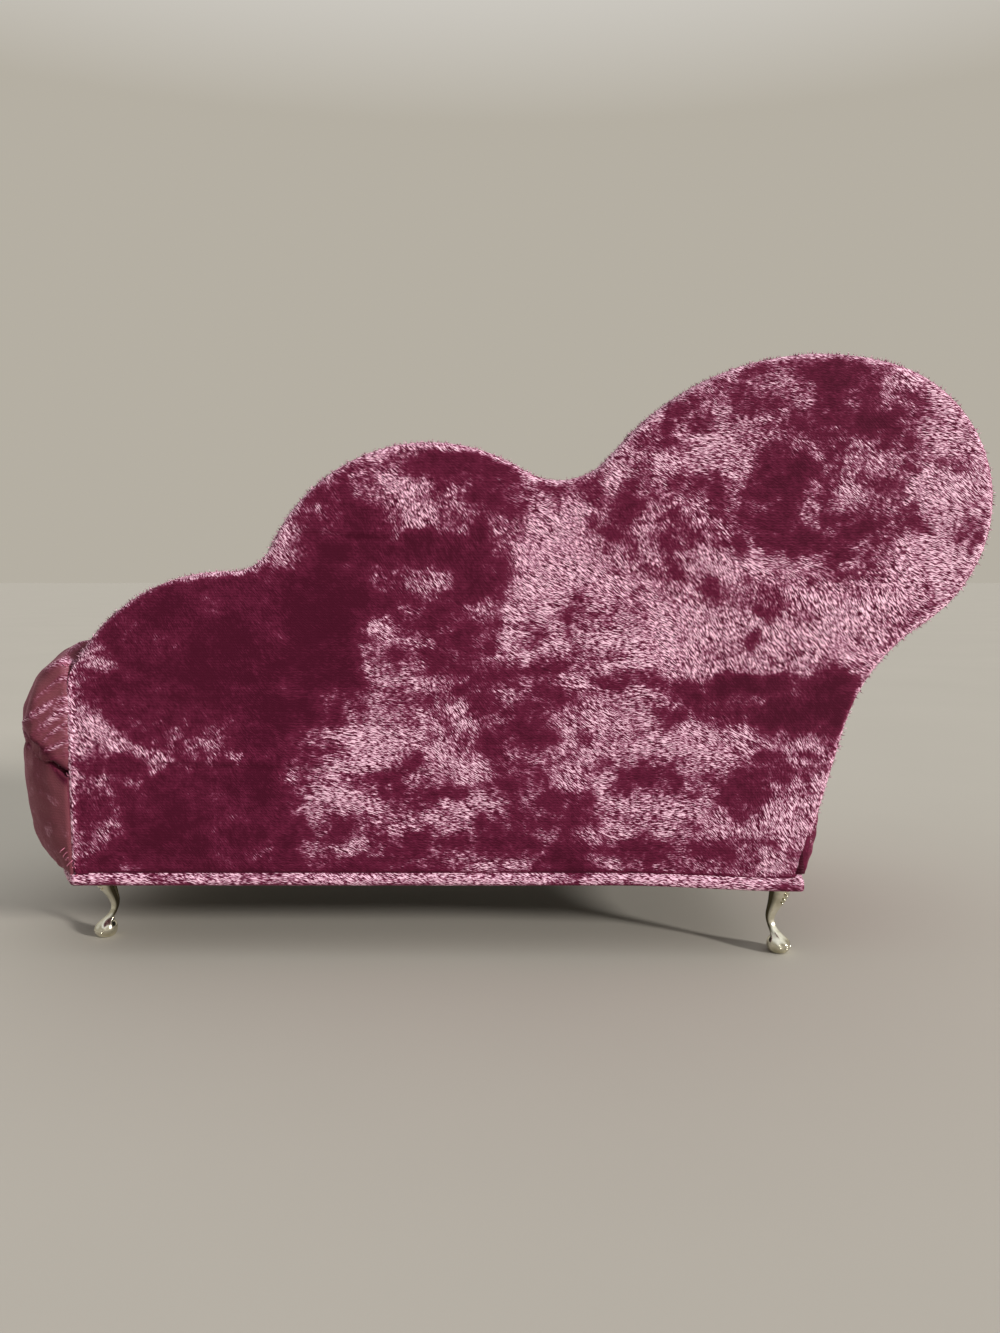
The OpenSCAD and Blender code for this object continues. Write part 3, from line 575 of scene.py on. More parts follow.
def thread_material():
    """Polyester sewing thread, two plies twisted 0.7 mm apart: a soft line with a little shine."""
    dark = bpy.context.scene.chaise_stitch.colour
    node, place = start_material("polyester_thread")
    twist = node("ShaderNodeTexWave", {"Vector": place, "Scale": 900, "Distortion": 1},
                 bands_direction="DIAGONAL")
    light = [min(1, 1.5 * c) for c in dark]
    colour = node("ShaderNodeValToRGB", {"Fac": twist.outputs["Fac"]}, [(0.2, dark), (0.8, light)])
    end_material(node, {"Base Color": colour, "Roughness": 0.55})


def board_material():
    """Medium density fibreboard, sawn: pale brown with fine dark fibres, 1 mm wide and 3 mm long."""
    node, place = start_material("sawn_fibreboard")
    fibres = node("ShaderNodeMapping", {"Vector": place, "Scale": (350, 900, 900)})
    grain = node("ShaderNodeTexNoise", {"Vector": fibres, "Scale": 1, "Detail": 4})
    colour = node("ShaderNodeValToRGB", {"Fac": grain},
                  [(0.3, "#8a6c4a"), (0.55, "#b5966c"), (0.8, "#cdb288")])
    relief = node("ShaderNodeBump", {"Height": grain, "Strength": 0.3, "Distance": 0.0002})
    end_material(node, {"Base Color": colour, "Normal": relief, "Roughness": 0.8})


def wadding_material():
    """Polyester wadding: white, matt and cloudy, in tufts of 2.5 mm."""
    node, place = start_material("polyester_wadding")
    fluff = node("ShaderNodeTexNoise", {"Vector": place, "Scale": 400, "Detail": 6, "Roughness": 0.7})
    colour = node("ShaderNodeValToRGB", {"Fac": fluff}, [(0.3, "#d6d3cc"), (0.7, "#f4f2ee")])
    relief = node("ShaderNodeBump", {"Height": fluff, "Strength": 0.8, "Distance": 0.0006})
    end_material(node, {"Base Color": colour, "Normal": relief, "Roughness": 0.95})


def lining_material():
    """Spunbonded lining cloth: black, with an embossed lattice of bonding points 1.4 mm apart."""
    node, place = start_material("black_lining_cloth")
    points = node("ShaderNodeTexVoronoi", {"Vector": place, "Scale": 1 / 0.0014, "Randomness": 0.15})
    fibres = node("ShaderNodeTexNoise", {"Vector": place, "Scale": 1500, "Detail": 4})
    mixed = node("ShaderNodeMath", {0: points, 1: fibres}, operation="MULTIPLY")
    colour = node("ShaderNodeValToRGB", {"Fac": mixed}, [(0.05, "#17171a"), (0.5, "#33333a")])
    relief = node("ShaderNodeBump", {"Height": mixed, "Strength": 0.5, "Distance": 0.0002})
    end_material(node, {"Base Color": colour, "Normal": relief, "Roughness": 0.8})


def paper_material():
    """Pale background paper, matt, faintly uneven in clouds of 170 mm."""
    pale = bpy.context.scene.chaise_stage.floor
    node, place = start_material("pale_paper")
    cloud = node("ShaderNodeTexNoise", {"Vector": place, "Scale": 6, "Detail": 4})
    colour = node("ShaderNodeValToRGB", {"Fac": cloud}, [(0.3, [0.985 * c for c in pale]), (0.7, pale)])
    end_material(node, {"Base Color": colour, "Roughness": 0.9, "Specular IOR Level": 0.2})


class CHAISE_OT_materials(bpy.types.Operator):
    """Makes the materials, and gives the carcass its board and wadding"""
    bl_idname = "chaise.materials"
    bl_label = "Materials"

    def execute(self, context):
        for make_material in (velvet_material, metal_material, thread_material, board_material,
                              wadding_material, lining_material, paper_material):
            make_material()
        for part in frame["record"]["subparts"]:
            for slot in frame["nodes"][part["node"]].material_slots:
                slot.material = bpy.data.materials[FINISHES[part["material_slot"]]]
        return {"FINISHED"}


# The outer back
# Where the nap behind the panel lies dark or light, listed one by one: middle in x and z, half width and
# height, tilt in degrees, and how light (above 0) or dark (below 0)
NAP_BEHIND = [
    (76, 97, 42, 26, 0, -0.58), (45, 117, 16, 19, 0, -0.50), (24, 131, 30, 5, 0, -0.38),
    (-3, 124, 8, 11, 0, -0.31), (15, 114, 16, 8, 0, -0.17), (38, 146, 8, 9, 20, -0.22),
    (9, 157, 28, 3, 0, -0.31), (11, 102, 14, 7, 0, -0.29), (88, 45, 32, 16, 0, -0.55),
    (-32, 109, 11, 5, 10, -0.29), (-63, 136, 10, 6, 20, -0.36), (-93, 155, 11, 14, 0, -0.25),
    (-125, 174, 9, 10, 0, -0.20), (-130, 160, 6, 15, 0, -0.12), (-98, 133, 18, 4, 0, -0.18),
    (-84, 103, 4, 3, 0, -0.34), (-86, 89, 30, 3, 0, -0.36), (-102, 80, 18, 8, 0, -0.37),
    (-115, 87, 7, 9, 0, -0.29), (-10, 71, 14, 5, 0, -0.36), (-26, 48, 16, 5, 0, -0.27),
    (-56, 56, 16, 5, 0, -0.27), (-7, 36, 47, 5, 0, -0.29), (-55, 36, 20, 4, 0, -0.22),
    (-86, 54, 6, 9, -35, -0.09), (-35, 87, 18, 3, 5, -0.22), (-81, 176, 13, 6, 35, -0.19),
    (42, 45, 7, 3, 0, -0.17), (-82, 36, 12, 5, 0, -0.30), (-100, 60, 4, 3, 0, -0.30),
    (121, 89, 11, 6, 0, -0.34), (-21, 126, 14, 17, 0, 0.31), (-67, 108, 23, 14, 0, 0.31),
    (-83, 124, 9, 8, 0, 0.20), (-148, 153, 12, 23, 0, 0.29), (-134, 118, 19, 14, 30, 0.31),
    (-123, 102, 11, 8, 0, 0.22), (-54, 151, 13, 9, 0, 0.19), (-71, 168, 10, 6, 40, 0.15),
    (15, 144, 17, 6, 0, 0.27), (32, 101, 5, 17, 0, 0.29), (43, 68, 16, 6, 0, 0.34),
    (123, 72, 8, 6, -30, 0.40), (106, 67, 10, 2, -15, 0.34), (77, 66, 5, 2, 0, 0.22),
    (48, 51, 14, 5, 0, 0.26), (38, 36, 14, 3, 0, 0.26), (8, 77, 13, 7, 0, 0.22), (5, 61, 10, 4, 0, 0.20),
    (-42, 74, 19, 6, 0, 0.31), (-71, 70, 23, 6, 0, 0.36), (-100, 71, 9, 4, 0, 0.30),
    (-102, 46, 13, 15, 0, 0.32), (-70, 54, 8, 9, 0, 0.24), (5, 48, 14, 4, 15, 0.22),
    (-28, 56, 13, 3, 0, 0.17), (-103, 104, 13, 11, 0, 0.24), (56, 127, 8, 4, 25, 0.22),
    (112, 93, 13, 2, -20, 0.24), (-16, 98, 13, 5, 0, 0.12), (114, 57, 5, 3, 0, 0.20),
    (117, 43, 4, 5, 0, 0.22), (125, 52, 6, 14, 0, -0.22), (-106, 184, 7, 6, 0, -0.16),
    (-104, 162, 6, 3, 0, 0.20), (-118, 165, 7, 3, 0, 0.16), (-137, 176, 8, 12, 40, 0.16)]

# The folds behind the panel: from x, to x, height, how much they rise on the way, and depth
PANEL_FOLDS = [(8, 112, 60.2, 2.8, 0.55), (18, 62, 133.0, 3.2, 0.6), (-60, 40, 31.5, 0.0, 0.25)]
DROOP_X = -104           # the lower edge droops most here, at the head corner,
DROOP_REACH = 60         # and less and less over this distance
EDGE_DROOP = (0.9, 2.2)  # how far the panel's edge and the strip's top droop at least, and how much more
TURN_DROOP = (0.3, 2.0)  # the same for the strip where it turns under the board
SEWN_TOP = 100           # the panel's foot edge is sewn to the cushion up to this height
EDGE_OVERHANG = 0.12     # the velvet reaches this far over the board's front face, so that they don't meet,
EDGE_TURN_IN = 0.4       # and its edge is drawn in by this much there
CORNER_REACH = 1.4       # how far from the panel's lower corners their easing reaches,
CORNER_ROUNDS = 40       # and how often it is done


def droop(x, least, more):
    """How far an edge droops along the base: by the least of it, and by more toward the head corner."""
    return least + more * (1.0 - smooth((x - DROOP_X) / DROOP_REACH))


def fold(x, z, x0, x1, height, rise, depth):
    """A soft fold that runs from x0 to x1 near a height: a groove with a low ridge over it."""
    along = smooth((x - x0) / 12) * smooth((x1 - x) / 12)
    groove_z = height + rise * (x - x0) / (x1 - x0)
    return depth * along * (0.6 * bump(z - groove_z - 1.8, 1.5) - bump(z - groove_z, 0.8))


def panel_loop():
    """The outline of the outer back: the panel's own, with its two lower corners eased and its lower edge let
    down over the base strip, most at the head corner."""
    loop = panel_outline()
    for place in (loop[np.argmin(loop[:, 0] + loop[:, 1])], loop[np.argmax(loop[:, 0] - loop[:, 1])]):
        near = np.linalg.norm(loop - place, axis=1) < CORNER_REACH
        for _ in range(CORNER_ROUNDS):
            loop[near] = (np.roll(loop, 1, axis=0) + np.roll(loop, -1, axis=0))[near] / 2
    lower = smooth((BOX_Z + 3 - loop[:, 1]) / 3) * (loop[:, 0] > DROOP_X - 0.5)
    loop[:, 1] -= lower * droop(loop[:, 0], *EDGE_DROOP)
    return loop


def panel_depth(x, z, inset, foot_x):
    """How far back the velvet lies, in y: rounded at its edge, puffed, and marked by folds and stitches."""
    s = bpy.context.scene.chaise_cover
    sewn = smooth((x - foot_x + 6) / 4) * smooth((SEWN_TOP - z) / 6)
    radius = s.edge_round / MM * (1 - 0.8 * sewn)
    flat = np.column_stack([x, np.zeros(len(x)), z])
    depth = REAR_Y - radius + radius * rounded(inset / radius)
    depth += s.puff / MM * smooth(inset / 14) + 0.45 * smooth(inset / 8) * wander(flat, 42, 2)
    depth += 0.12 * smooth(inset / 3) * wander(flat, 9, 2, seed=3)
    depth += (0.35 * bump(foot_x - x - 1.3, 0.7) - 0.25 * bump(foot_x - x - 3.2, 0.9)) * sewn
    depth += sum(fold(x, z, *row) for row in PANEL_FOLDS) * smooth(inset / 4)
    pucker = np.sin(z * 2.33) * bump((foot_x - x) - 2.6, 2.4) * smooth((SEWN_TOP - 4 - z) / 10)
    return depth + 0.22 * pucker


def panel_nap(place, loop, foot_x):
    """How light or dark the nap lies behind the panel: a lighter edge, a painted highlight where the pile
    rolls over it; a dark lower edge, painted shade in the crease over the base strip; and the spots.
    """
    above = smooth((place[:, 2] - 60) / 12)
    under = smooth((BOX_Z + 3 - place[:, 2]) / 2)
    nap = ((0.3 + 0.25 * above) * (1 - under) - 0.7 * under) * bump(inset_of(place[:, [0, 2]], loop), 1.5)
    drift_x, drift_z = wander(place, 11, 3, seed=30), wander(place, 11, 3, seed=31)
    for cx, cz, wide, high, tilt, amount in NAP_BEHIND:
        c, t = math.cos(math.radians(tilt)), math.sin(math.radians(tilt))
        dx, dz = cx - place[:, 0] + 3.0 * drift_x, place[:, 2] - cz + 2.2 * drift_z
        far = ((dx * c + dz * t) / wide) ** 2 + ((dz * c - dx * t) / high) ** 2
        nap += amount * np.exp(-0.7 * far ** 2)
    return nap + 0.12 * bump(foot_x - place[:, 0] - 1.0, 1.3) * smooth((SEWN_TOP - place[:, 2]) / 10)


class CHAISE_OT_outer_back(bpy.types.Operator):
    """Makes the velvet over the back panel, with its soft edge, its folds and the pile along its edge"""
    bl_idname = "chaise.outer_back"
    bl_label = "Outer back"

    def execute(self, context):
        loop = panel_loop()
        outward = normals_of(loop)
        foot_x = loop[:, 0].max()
        points, tris, inset, rim = patch(loop, [0.15, 0.45, 0.9, 1.5, 2.2, 3.1], 1.15)
        x, z = points[:, 0], points[:, 1]
        shell = Shell()
        rear = shell.add_points(upright(points, panel_depth(x, z, inset, foot_x)))
        shell.add_faces(rear[tris])
        rows = [rear[rim]]
        front_y = BOARD_Y - EDGE_OVERHANG
        for y, out in (((REAR_Y + BOARD_Y) / 2, 0.15), (BOARD_Y + 0.6, 0.1), (front_y, -EDGE_TURN_IN)):
            rows.append(shell.add_points(upright(loop + outward * out, y)))
        shell.grid(rows, closed=True)
        shell.cap(loop - outward * EDGE_TURN_IN, front_y, forward=True)
        piece = shell.make("outer_back_velvet")
        for face in piece.data.polygons:
            face.use_smooth = face.center.y > BOARD_Y * MM
        place = points_of(piece)
        set_nap(piece, panel_nap(place, loop, foot_x), -bump(foot_x - place[:, 0], 9))
        finish_piece(piece, "velvet", ("back_cover", "back_wadding"))
        free = ((loop[:, 0] < foot_x - 0.5) | (loop[:, 1] > SEWN_TOP - 1)) & (loop[:, 1] > BOX_Z + 1.5)
        edge, ways = loop[free], outward[free]
        fringe("back_edge_pile", edge - 0.2 * ways, ways, (BOARD_Y + 0.5, REAR_Y - 0.9), 21)
        return {"FINISHED"}


# The base
def base_loop():
    """The base board's outline with its velvet, in x and y."""
    return outline_of("base_cover", 2, 0)


def make_strip():
    """Makes the strip. Its section, how far out at which height, runs from over the board to under it."""
    loop = resample(base_loop(), 1.0, closed=True)
    outward = normals_of(loop)
    rng = np.random.default_rng(4)
    low, high = BASE_LOW[2], BASE_HIGH[2]
    turn = loop[:, 0].max() - corner("underside_lining", 1)[0]
    section = [(-2.2, high), (-1.2, high + 0.1), (-0.6, high), (0.15, high - 0.15), (0.62, high - 0.8),
               (0.78, high - 1.7), (0.74, low + 1.5), (0.45, low + 0.55), (-0.4, low + 0.02),
               (-2.0, low - 0.12), (-5.5, low - 0.15), (-9.5, low - 0.12), (-turn - 0.6, low - 0.05),
               (-turn - 0.6, low + 0.45)]
    behind = smooth((loop[:, 1] - REAR_Y + 26) / 20)
    top_droop, turn_droop = droop(loop[:, 0], *EDGE_DROOP), droop(loop[:, 0], *TURN_DROOP)
    tab = 1.1 * bump(np.linalg.norm(loop - np.array([loop[:, 0].min(), REAR_Y]), axis=1), 3.0)
    wave = 1 + 0.18 * wander(level(loop, 0), 6, 2, seed=7)
    shell = Shell()
    rows = []
    for out, z in section:
        reach = out * wave if out > 0 else np.full(len(loop), out)
        row = loop + outward * reach[:, None]
        if out < -3:
            row = np.clip(row, loop.min(axis=0) - out, loop.max(axis=0) + out)
        lift = 0.12 * rng.standard_normal(len(loop)) if -9 < out < -3 else tab if z > high - 1 else 0
        share = smooth((z - low) / (high - low))
        hang = smooth((out + 9) / 7) if z < high - 1 else smooth((out + 1.1) / 1.4)
        lift = lift - behind * hang * (share * top_droop + (1 - share) * turn_droop)
        rows.append(shell.add_points(level(row, z + lift)))
    shell.grid(rows + [rows[0]], closed=True)
    strip = shell.make("base_strip_velvet")
    set_nap(strip, np.where(points_of(strip)[:, 2] > low + 0.3, 0.42, 0.05), 1.0)
    finish_piece(strip, "velvet", ("base_cover",))


def make_lining():
    """The lining, a quarter of a millimetre thick, which hangs a little in its middle."""
    edge = resample(outline_of("underside_lining", 2, 0), 2.0, closed=True)
    out = edge + normals_of(edge) * 1.5
    points, tris, inset, rim = patch(out, [1.5, 3.5], 4.0)
    drop = 0.35 + 0.5 * smooth(inset / 25) + 0.12 * wander(level(points, 0), 16, 2)
    shell = Shell()
    below = shell.add_points(level(points, BASE_LOW[2] - drop))
    above = shell.add_points(level(points, BASE_LOW[2] - drop + 0.25))
    shell.add_faces(below[tris][:, ::-1])
    shell.add_faces(above[tris])
    shell.grid([below[rim], above[rim]], closed=True)
    lining = shell.make("underside_lining_cloth")
    finish_piece(lining, "lining", ("underside_lining",))


class CHAISE_OT_base(bpy.types.Operator):
    """Makes the rolled velvet strip round the base board, turned under it, and the lining in its middle"""
    bl_idname = "chaise.base"
    bl_label = "Base strip and lining"

    def execute(self, context):
        make_strip()
        make_lining()
        return {"FINISHED"}


# The padded band, the seat and the crease between them
# Section of the side band: how far out at which height
SIDE_SECTION = [(-0.9, 27.6), (0.0, 27.6), (1.6, 27.7), (3.0, 28.2), (4.2, 29.2), (5.4, 31.0), (6.6, 33.0),
                (8.1, 36.3), (9.2, 40.0), (10.2, 45.0), (10.9, 49.5), (11.4, 53.5), (11.6, 56.5),
                (11.4, 58.9), (10.6, 60.6), (9.0, 61.5), (6.0, 61.8), (2.0, 61.8), (-0.9, 61.8)]
BAND_TOP = 61.8      # height of the band's top, on which the cushion lies
FOOT_X = 116         # from here on, the crease climbs over the bow of the foot end
CREASE_CLIMB = 7.2   # how far it climbs there,
CREASE_START = 3.0   # how much lower than that it starts at the seam,
CREASE_FALL = 4.2    # and how far it falls again toward the front
SHOULDER_Z = 93      # over this height, the cushion's edge at the seam is drawn forward and down

# Folds that run from the cushion's seam: height at the seam, how steeply they fall, half width and reach
SEAM_FOLDS = [(96.5, 0.36, 1.3, 12), (91.5, 0.80, 0.9, 8), (85.0, 0.58, 0.9, 30), (82.0, 0.95, 1.6, 12),
              (76.5, 0.80, 0.9, 9), (71.0, 0.50, 0.8, 16), (66.5, 0.35, 0.8, 12)]


def free_path(step):
    """Plan of the base from the rear foot corner round the front to the rear head corner, and its normals."""
    loop = base_loop()
    rear = loop[:, 1] > loop[:, 1].max() - 0.05
    foot = np.flatnonzero(rear)[np.argmax(loop[rear][:, 0])]
    head = np.flatnonzero(rear)[np.argmin(loop[rear][:, 0])]
    line = np.roll(loop, -foot, axis=0)
    head = (head - foot) % len(loop)
    line = line[:head + 1] if line[1][1] < line[0][1] - 0.01 else np.vstack([line[:1], line[:head - 1:-1]])
    line = resample(line, step, closed=False)
    normal = normals_of(line, closed=False)
    if np.sum((line - loop.mean(axis=0)) * normal) < 0:
        normal = -normal
    return line, normal


def swell(line):
    """How much of its full bulge the padding has along a line: none at the back corners, all of it further
    forward. It curves away slowly from the seam at the foot, and quickly round the corner at the head."""
    behind = REAR_Y - line[:, 1]
    slow = np.sin(np.clip(behind / 24, 0, 1) * math.pi / 2) ** 0.8
    full = np.where(line[:, 0] > 0, slow, rounded(behind / 10))
    full = np.convolve(np.r_[full[:2][::-1], full, full[-2:][::-1]], np.ones(5) / 5, "valid")
    full[[0, -1]] *= (0.1, 0.5)
    return full


def from_seam(points):
    """How far points are from the sewn edge at the foot, seen from above."""
    return np.linalg.norm(points[:, :2] - SEAM, axis=1)


def crease_rise(points):
    """How far the crease between band and cushion rises over the band's top: it climbs from the seam."""
    way = from_seam(points)
    fall = smooth((22 - points[:, 1]) / 50)
    rise = CREASE_CLIMB * smooth(way / 15) - CREASE_START * (1 - smooth(way / 8)) - CREASE_FALL * fall
    return smooth((points[:, 0] - FOOT_X) / 14) * rise


def crease_shade(points, height):
    """How near points at the foot end are to the crease, where it starts from a height: it is dark there."""
    return bump(points[:, 2] - height - crease_rise(points), 1.6) * smooth((points[:, 0] - FOOT_X - 2) / 8)


def seen_from_behind(normal):
    """How much a face looks back: there the pile of the foot end lies flat and is painted in an even colour,
    the sheen of pile seen at a slant.
    """
    return smooth((normal[:, 1] + 0.35) / 0.6) * (1 - 0.7 * smooth((normal[:, 2] - 0.5) / 0.4))


class CHAISE_OT_side_band(bpy.types.Operator):
    """Makes the padded velvet band round the rails, between the two rear corners"""
    bl_idname = "chaise.side_band"
    bl_label = "Side band"

    def execute(self, context):
        line, normal = free_path(1.0)
        full = swell(line)
        head = smooth((line[:, 0].min() + 8 - line[:, 0]) / 6)
        way = lengths_along(line)
        pulled = bump(way, 14) + bump(way[-1] - way, 14)
        shell = Shell()
        rows = []
        for reach, z in resample(np.array(SIDE_SECTION), 1.1, closed=False):
            slim = 1 - head * (0.30 + 0.16 * smooth((z - 38) / 18))
            out = 0.35 + (reach * full * slim if reach > 0 else reach - 2.5 * head)
            row = level(line + normal * out[:, None], z)
            row[:, 2] += crease_rise(row) * smooth((z - 44) / 17)
            if reach > 2:
                lift = 0.8 * wander(row, 22, 2, seed=1) + 0.35 * wander(row, 7, 2, seed=2)
                gathers = wander(np.column_stack([way, way * 0, way * 0 + z * 0.25]), 3.2, 2, seed=5)
                gathers *= bump(z - 29, 4) + bump(z - 61, 4)
                lift += context.scene.chaise_cover.gather / MM * gathers
                lift -= 0.5 * pulled * (0.5 + 0.5 * np.sin(z * 1.25))
                row[:, :2] += normal * (lift * np.minimum(full, 1) * 0.9)[:, None]
            rows.append(shell.add_points(row))
        shell.grid(rows + [rows[0]])
        for end in (0, -1):
            shell.add_faces([[row[end] for row in rows][::1 if end else -1]])
        band = shell.make("side_band_velvet")
        place = points_of(band)
        # Painted light: glints of single tufts, painted shade near the band's top and in the crease, and
        # toward the foot end an even colour that is a painted sheen of pile seen at a slant.
        glints = 0.5 * bump(wander(place * np.array([1, 1, 2.5]), 9, 2, seed=33) - 0.55, 0.16)
        plain = smooth((place[:, 0] - 106) / 18) * smooth((place[:, 1] + 8) / 48)
        plain *= seen_from_behind(vertex_normals(band))
        dark = crease_shade(place, BAND_TOP - 1.3)
        plain = np.clip(plain * (1 + 0.5 * wander(place, 13, 3, seed=42)), 0, 1) * (1 - dark)
        shade = 0.25 * bump(place[:, 2] - 61 - crease_rise(place), 3) + 0.4 * dark
        nap = -0.22 + glints + 0.12 * wander(place, 30, 2, seed=9) - shade + 0.32 * plain
        set_nap(band, nap, -plain, plain)
        finish_piece(band, "velvet", ("side_cover", "side_wadding"))
        return {"FINISHED"}


def applied(piece):
    """Applies a piece's modifiers."""
    graph = bpy.context.evaluated_depsgraph_get()
    mesh = bpy.data.meshes.new_from_object(piece.evaluated_get(graph))
    piece.modifiers.clear()
    old = piece.data
    piece.data = mesh
    bpy.data.meshes.remove(old)


def even_copy(name, node, voxel, grow, rounds):
    """A copy of a padded CAD node as an even skin: grown to the outside of its cover, and smoothed."""
    mesh = frame["nodes"][node].data.copy()
    bm = bmesh.new()
    bm.from_mesh(mesh)
    bmesh.ops.remove_doubles(bm, verts=bm.verts, dist=1e-6)
    bm.to_mesh(mesh)
    bm.free()
    mesh.name = name
    mesh.materials.clear()
    piece = new_piece(name, mesh)
    remesh = piece.modifiers.new("even", "REMESH")
    remesh.mode = "VOXEL"
    remesh.voxel_size = voxel * MM
    applied(piece)
    ease = piece.modifiers.new("ease", "SMOOTH")
    ease.factor = 0.5
    ease.iterations = rounds
    applied(piece)
    piece.data.shade_smooth()
    move_points(piece, points_of(piece) + vertex_normals(piece) * grow)
    return piece


def meet_panel(points):
    """Draws the cushion's points back to the panel's edge at the sewn seam, round which its outline runs."""
    panel = panel_outline()
    flat = points[:, [0, 2]]
    off_edge = np.where(inside(flat, panel), -1.0, 1.0) * inset_of(flat, panel)
    at_seam = smooth((off_edge + 1) / 2) * smooth((points[:, 1] - 54) / 6) * (points[:, 0] > 100)
    at_seam *= smooth((points[:, 2] - BAND_TOP - crease_rise(points)) / 2)
    shoulder = REAR_Y + 0.2 - 3.5 * smooth((points[:, 2] - SHOULDER_Z) / 11)
    drawn = np.minimum(points[:, 1] + 2.6 * at_seam, shoulder)
    points[:, 1] = np.where(at_seam > 0, drawn, points[:, 1])
    points[:, 0] -= 1.5 * at_seam * np.exp(-(off_edge / 3) ** 2)
    points[:, 2] -= 0.45 * at_seam * np.maximum(points[:, 2] - SHOULDER_Z, 0)


def folds_at_seam(points, way):
    """How near each point is to the top of a fold that runs from the seam, 0 to 1."""
    folds = np.zeros(len(points))
    sway = 0.8 * wander(points, 7, 2, seed=40)
    for z0, fall, width, reach in SEAM_FOLDS:
        height = points[:, 2] - (z0 - fall * way) + sway
        folds = np.maximum(folds, bump(height, width * (1 + 0.045 * way)) * np.exp(-(way / reach) ** 1.4))
    return folds


class CHAISE_OT_seat(bpy.types.Operator):
    """Makes the seat cushion, with the folds that run from its seam on the panel's edge"""
    bl_idname = "chaise.seat"
    bl_label = "Seat cushion"

    def execute(self, context):
        seat = even_copy("seat_cushion_velvet", "seat_filling", 1.6, 0.9, 6)
        points, normal = points_of(seat), vertex_normals(seat)
        points[:, 2] += np.minimum(crease_rise(points), 0) * smooth((75 - points[:, 2]) / 10)
        meet_panel(points)
        way = from_seam(points)
        outside = smooth((points[:, 0] - SEAM_X + 6) / 6) * smooth((way - 0.5) / 2)
        folds = folds_at_seam(points, way)
        lift = (1.9 * folds - 0.9 * np.exp(-way / 16)) * outside
        uneven = 0.7 * wander(points, 26, 3, seed=6) + 0.25 * wander(points, 8, 2, seed=8)
        lift += smooth((points[:, 2] - 63) / 8) * uneven
        low = bump(points[:, 2] - 63.5, 3.0)
        lift += 0.5 * low * wander(points * np.array([1, 1, 0.3]), 4.5, 2, seed=10)
        rise = crease_rise(points)
        under = smooth((points[:, 1] + 70) / 20) * smooth((66.5 + rise - points[:, 2]) / 4) * smooth(rise / 2)
        lift -= 1.7 * under * smooth(way / 16)
        points += normal * lift[:, None]
        points[:, 1] = np.minimum(points[:, 1], REAR_Y + 1.0)
        move_points(seat, points)

        # Painted light: toward the foot end an even colour that is a painted sheen of pile seen at a slant,
        # fold tops laid lighter as painted highlights, and painted shade in the crease and along the
        # cushion's low edge by the band.
        plain = np.exp(-(way / 38) ** 2) * smooth((points[:, 0] - 106) / 20) * seen_from_behind(normal)
        dark = crease_shade(points, BAND_TOP + 2.2)
        plain = np.clip(plain * (1 + 0.5 * wander(points, 13, 3, seed=41)), 0, 1) * (1 - dark)
        nap = (0.9 * folds - 0.42 * plain) * outside + 0.12 * wander(points, 34, 2, seed=12) * (1 - plain)
        nap += 0.6 * plain * (1 - folds) - 0.3 * low - 0.1 - 0.5 * dark
        set_nap(seat, nap, 0.8 * plain, plain * (1 - folds))
        finish_piece(seat, "velvet", ("seat_cover", "seat_filling"))
        return {"FINISHED"}


# The inside of the back
BUTTON_RADIUS, BUTTON_HEIGHT = 3.1, 2.6  # the height is half of the ball that a button is the front of


def button_points():
    """Middle of each button's base, where it sits on the padding, from the frame."""
    groups = []
    for p in corners_of("back_buttons"):
        for group in groups:
            if np.hypot(*(np.mean(group, axis=0) - p)[[0, 2]]) < 8:
                group.append(p)
                break
        else:
            groups.append([p])
    result = []
    for group in map(np.array, groups):
        middle = (group.max(axis=0) + group.min(axis=0)) / 2
        result.append([middle[0], group[:, 1].max(), middle[2]])
    return np.array(result)


def to_segment(points, a, b):
    """How far points are from a segment, and how far along it they lie, 0 to 1."""
    t = np.clip(((points - a) @ (b - a)) / np.sum((b - a) ** 2), 0, 1)
    return np.linalg.norm(points - a - t[:, None] * (b - a), axis=1), t


def buttoning(flat, buttons):
    """How deep each place in x and z lies in a groove between buttons, and in the well of one, both 0 to 1.
    Grooves run aslant to the neighbours, and straight to the edge from the lowest and the highest buttons."""
    groove, well = np.zeros(len(flat)), np.zeros(len(flat))
    lowest, highest = buttons[:, 1].min(), buttons[:, 1].max()
    for i, b in enumerate(buttons):
        well = np.maximum(well, bump(np.linalg.norm(flat - b, axis=1), 3.2))
        for other in buttons[i + 1:]:
            if abs(other[1] - b[1]) > 5 and np.linalg.norm(other - b) < 45:
                far, _ = to_segment(flat, b, other)
                groove = np.maximum(groove, bump(far, 1.5))
        for reach, runs in ((-22, b[1] == lowest), (16, b[1] > highest - 5)):
            if runs:
                far, t = to_segment(flat, b, b + np.array([0, reach]))
                groove = np.maximum(groove, bump(far, 1.4) * (1 - 0.6 * t))
    return groove, well


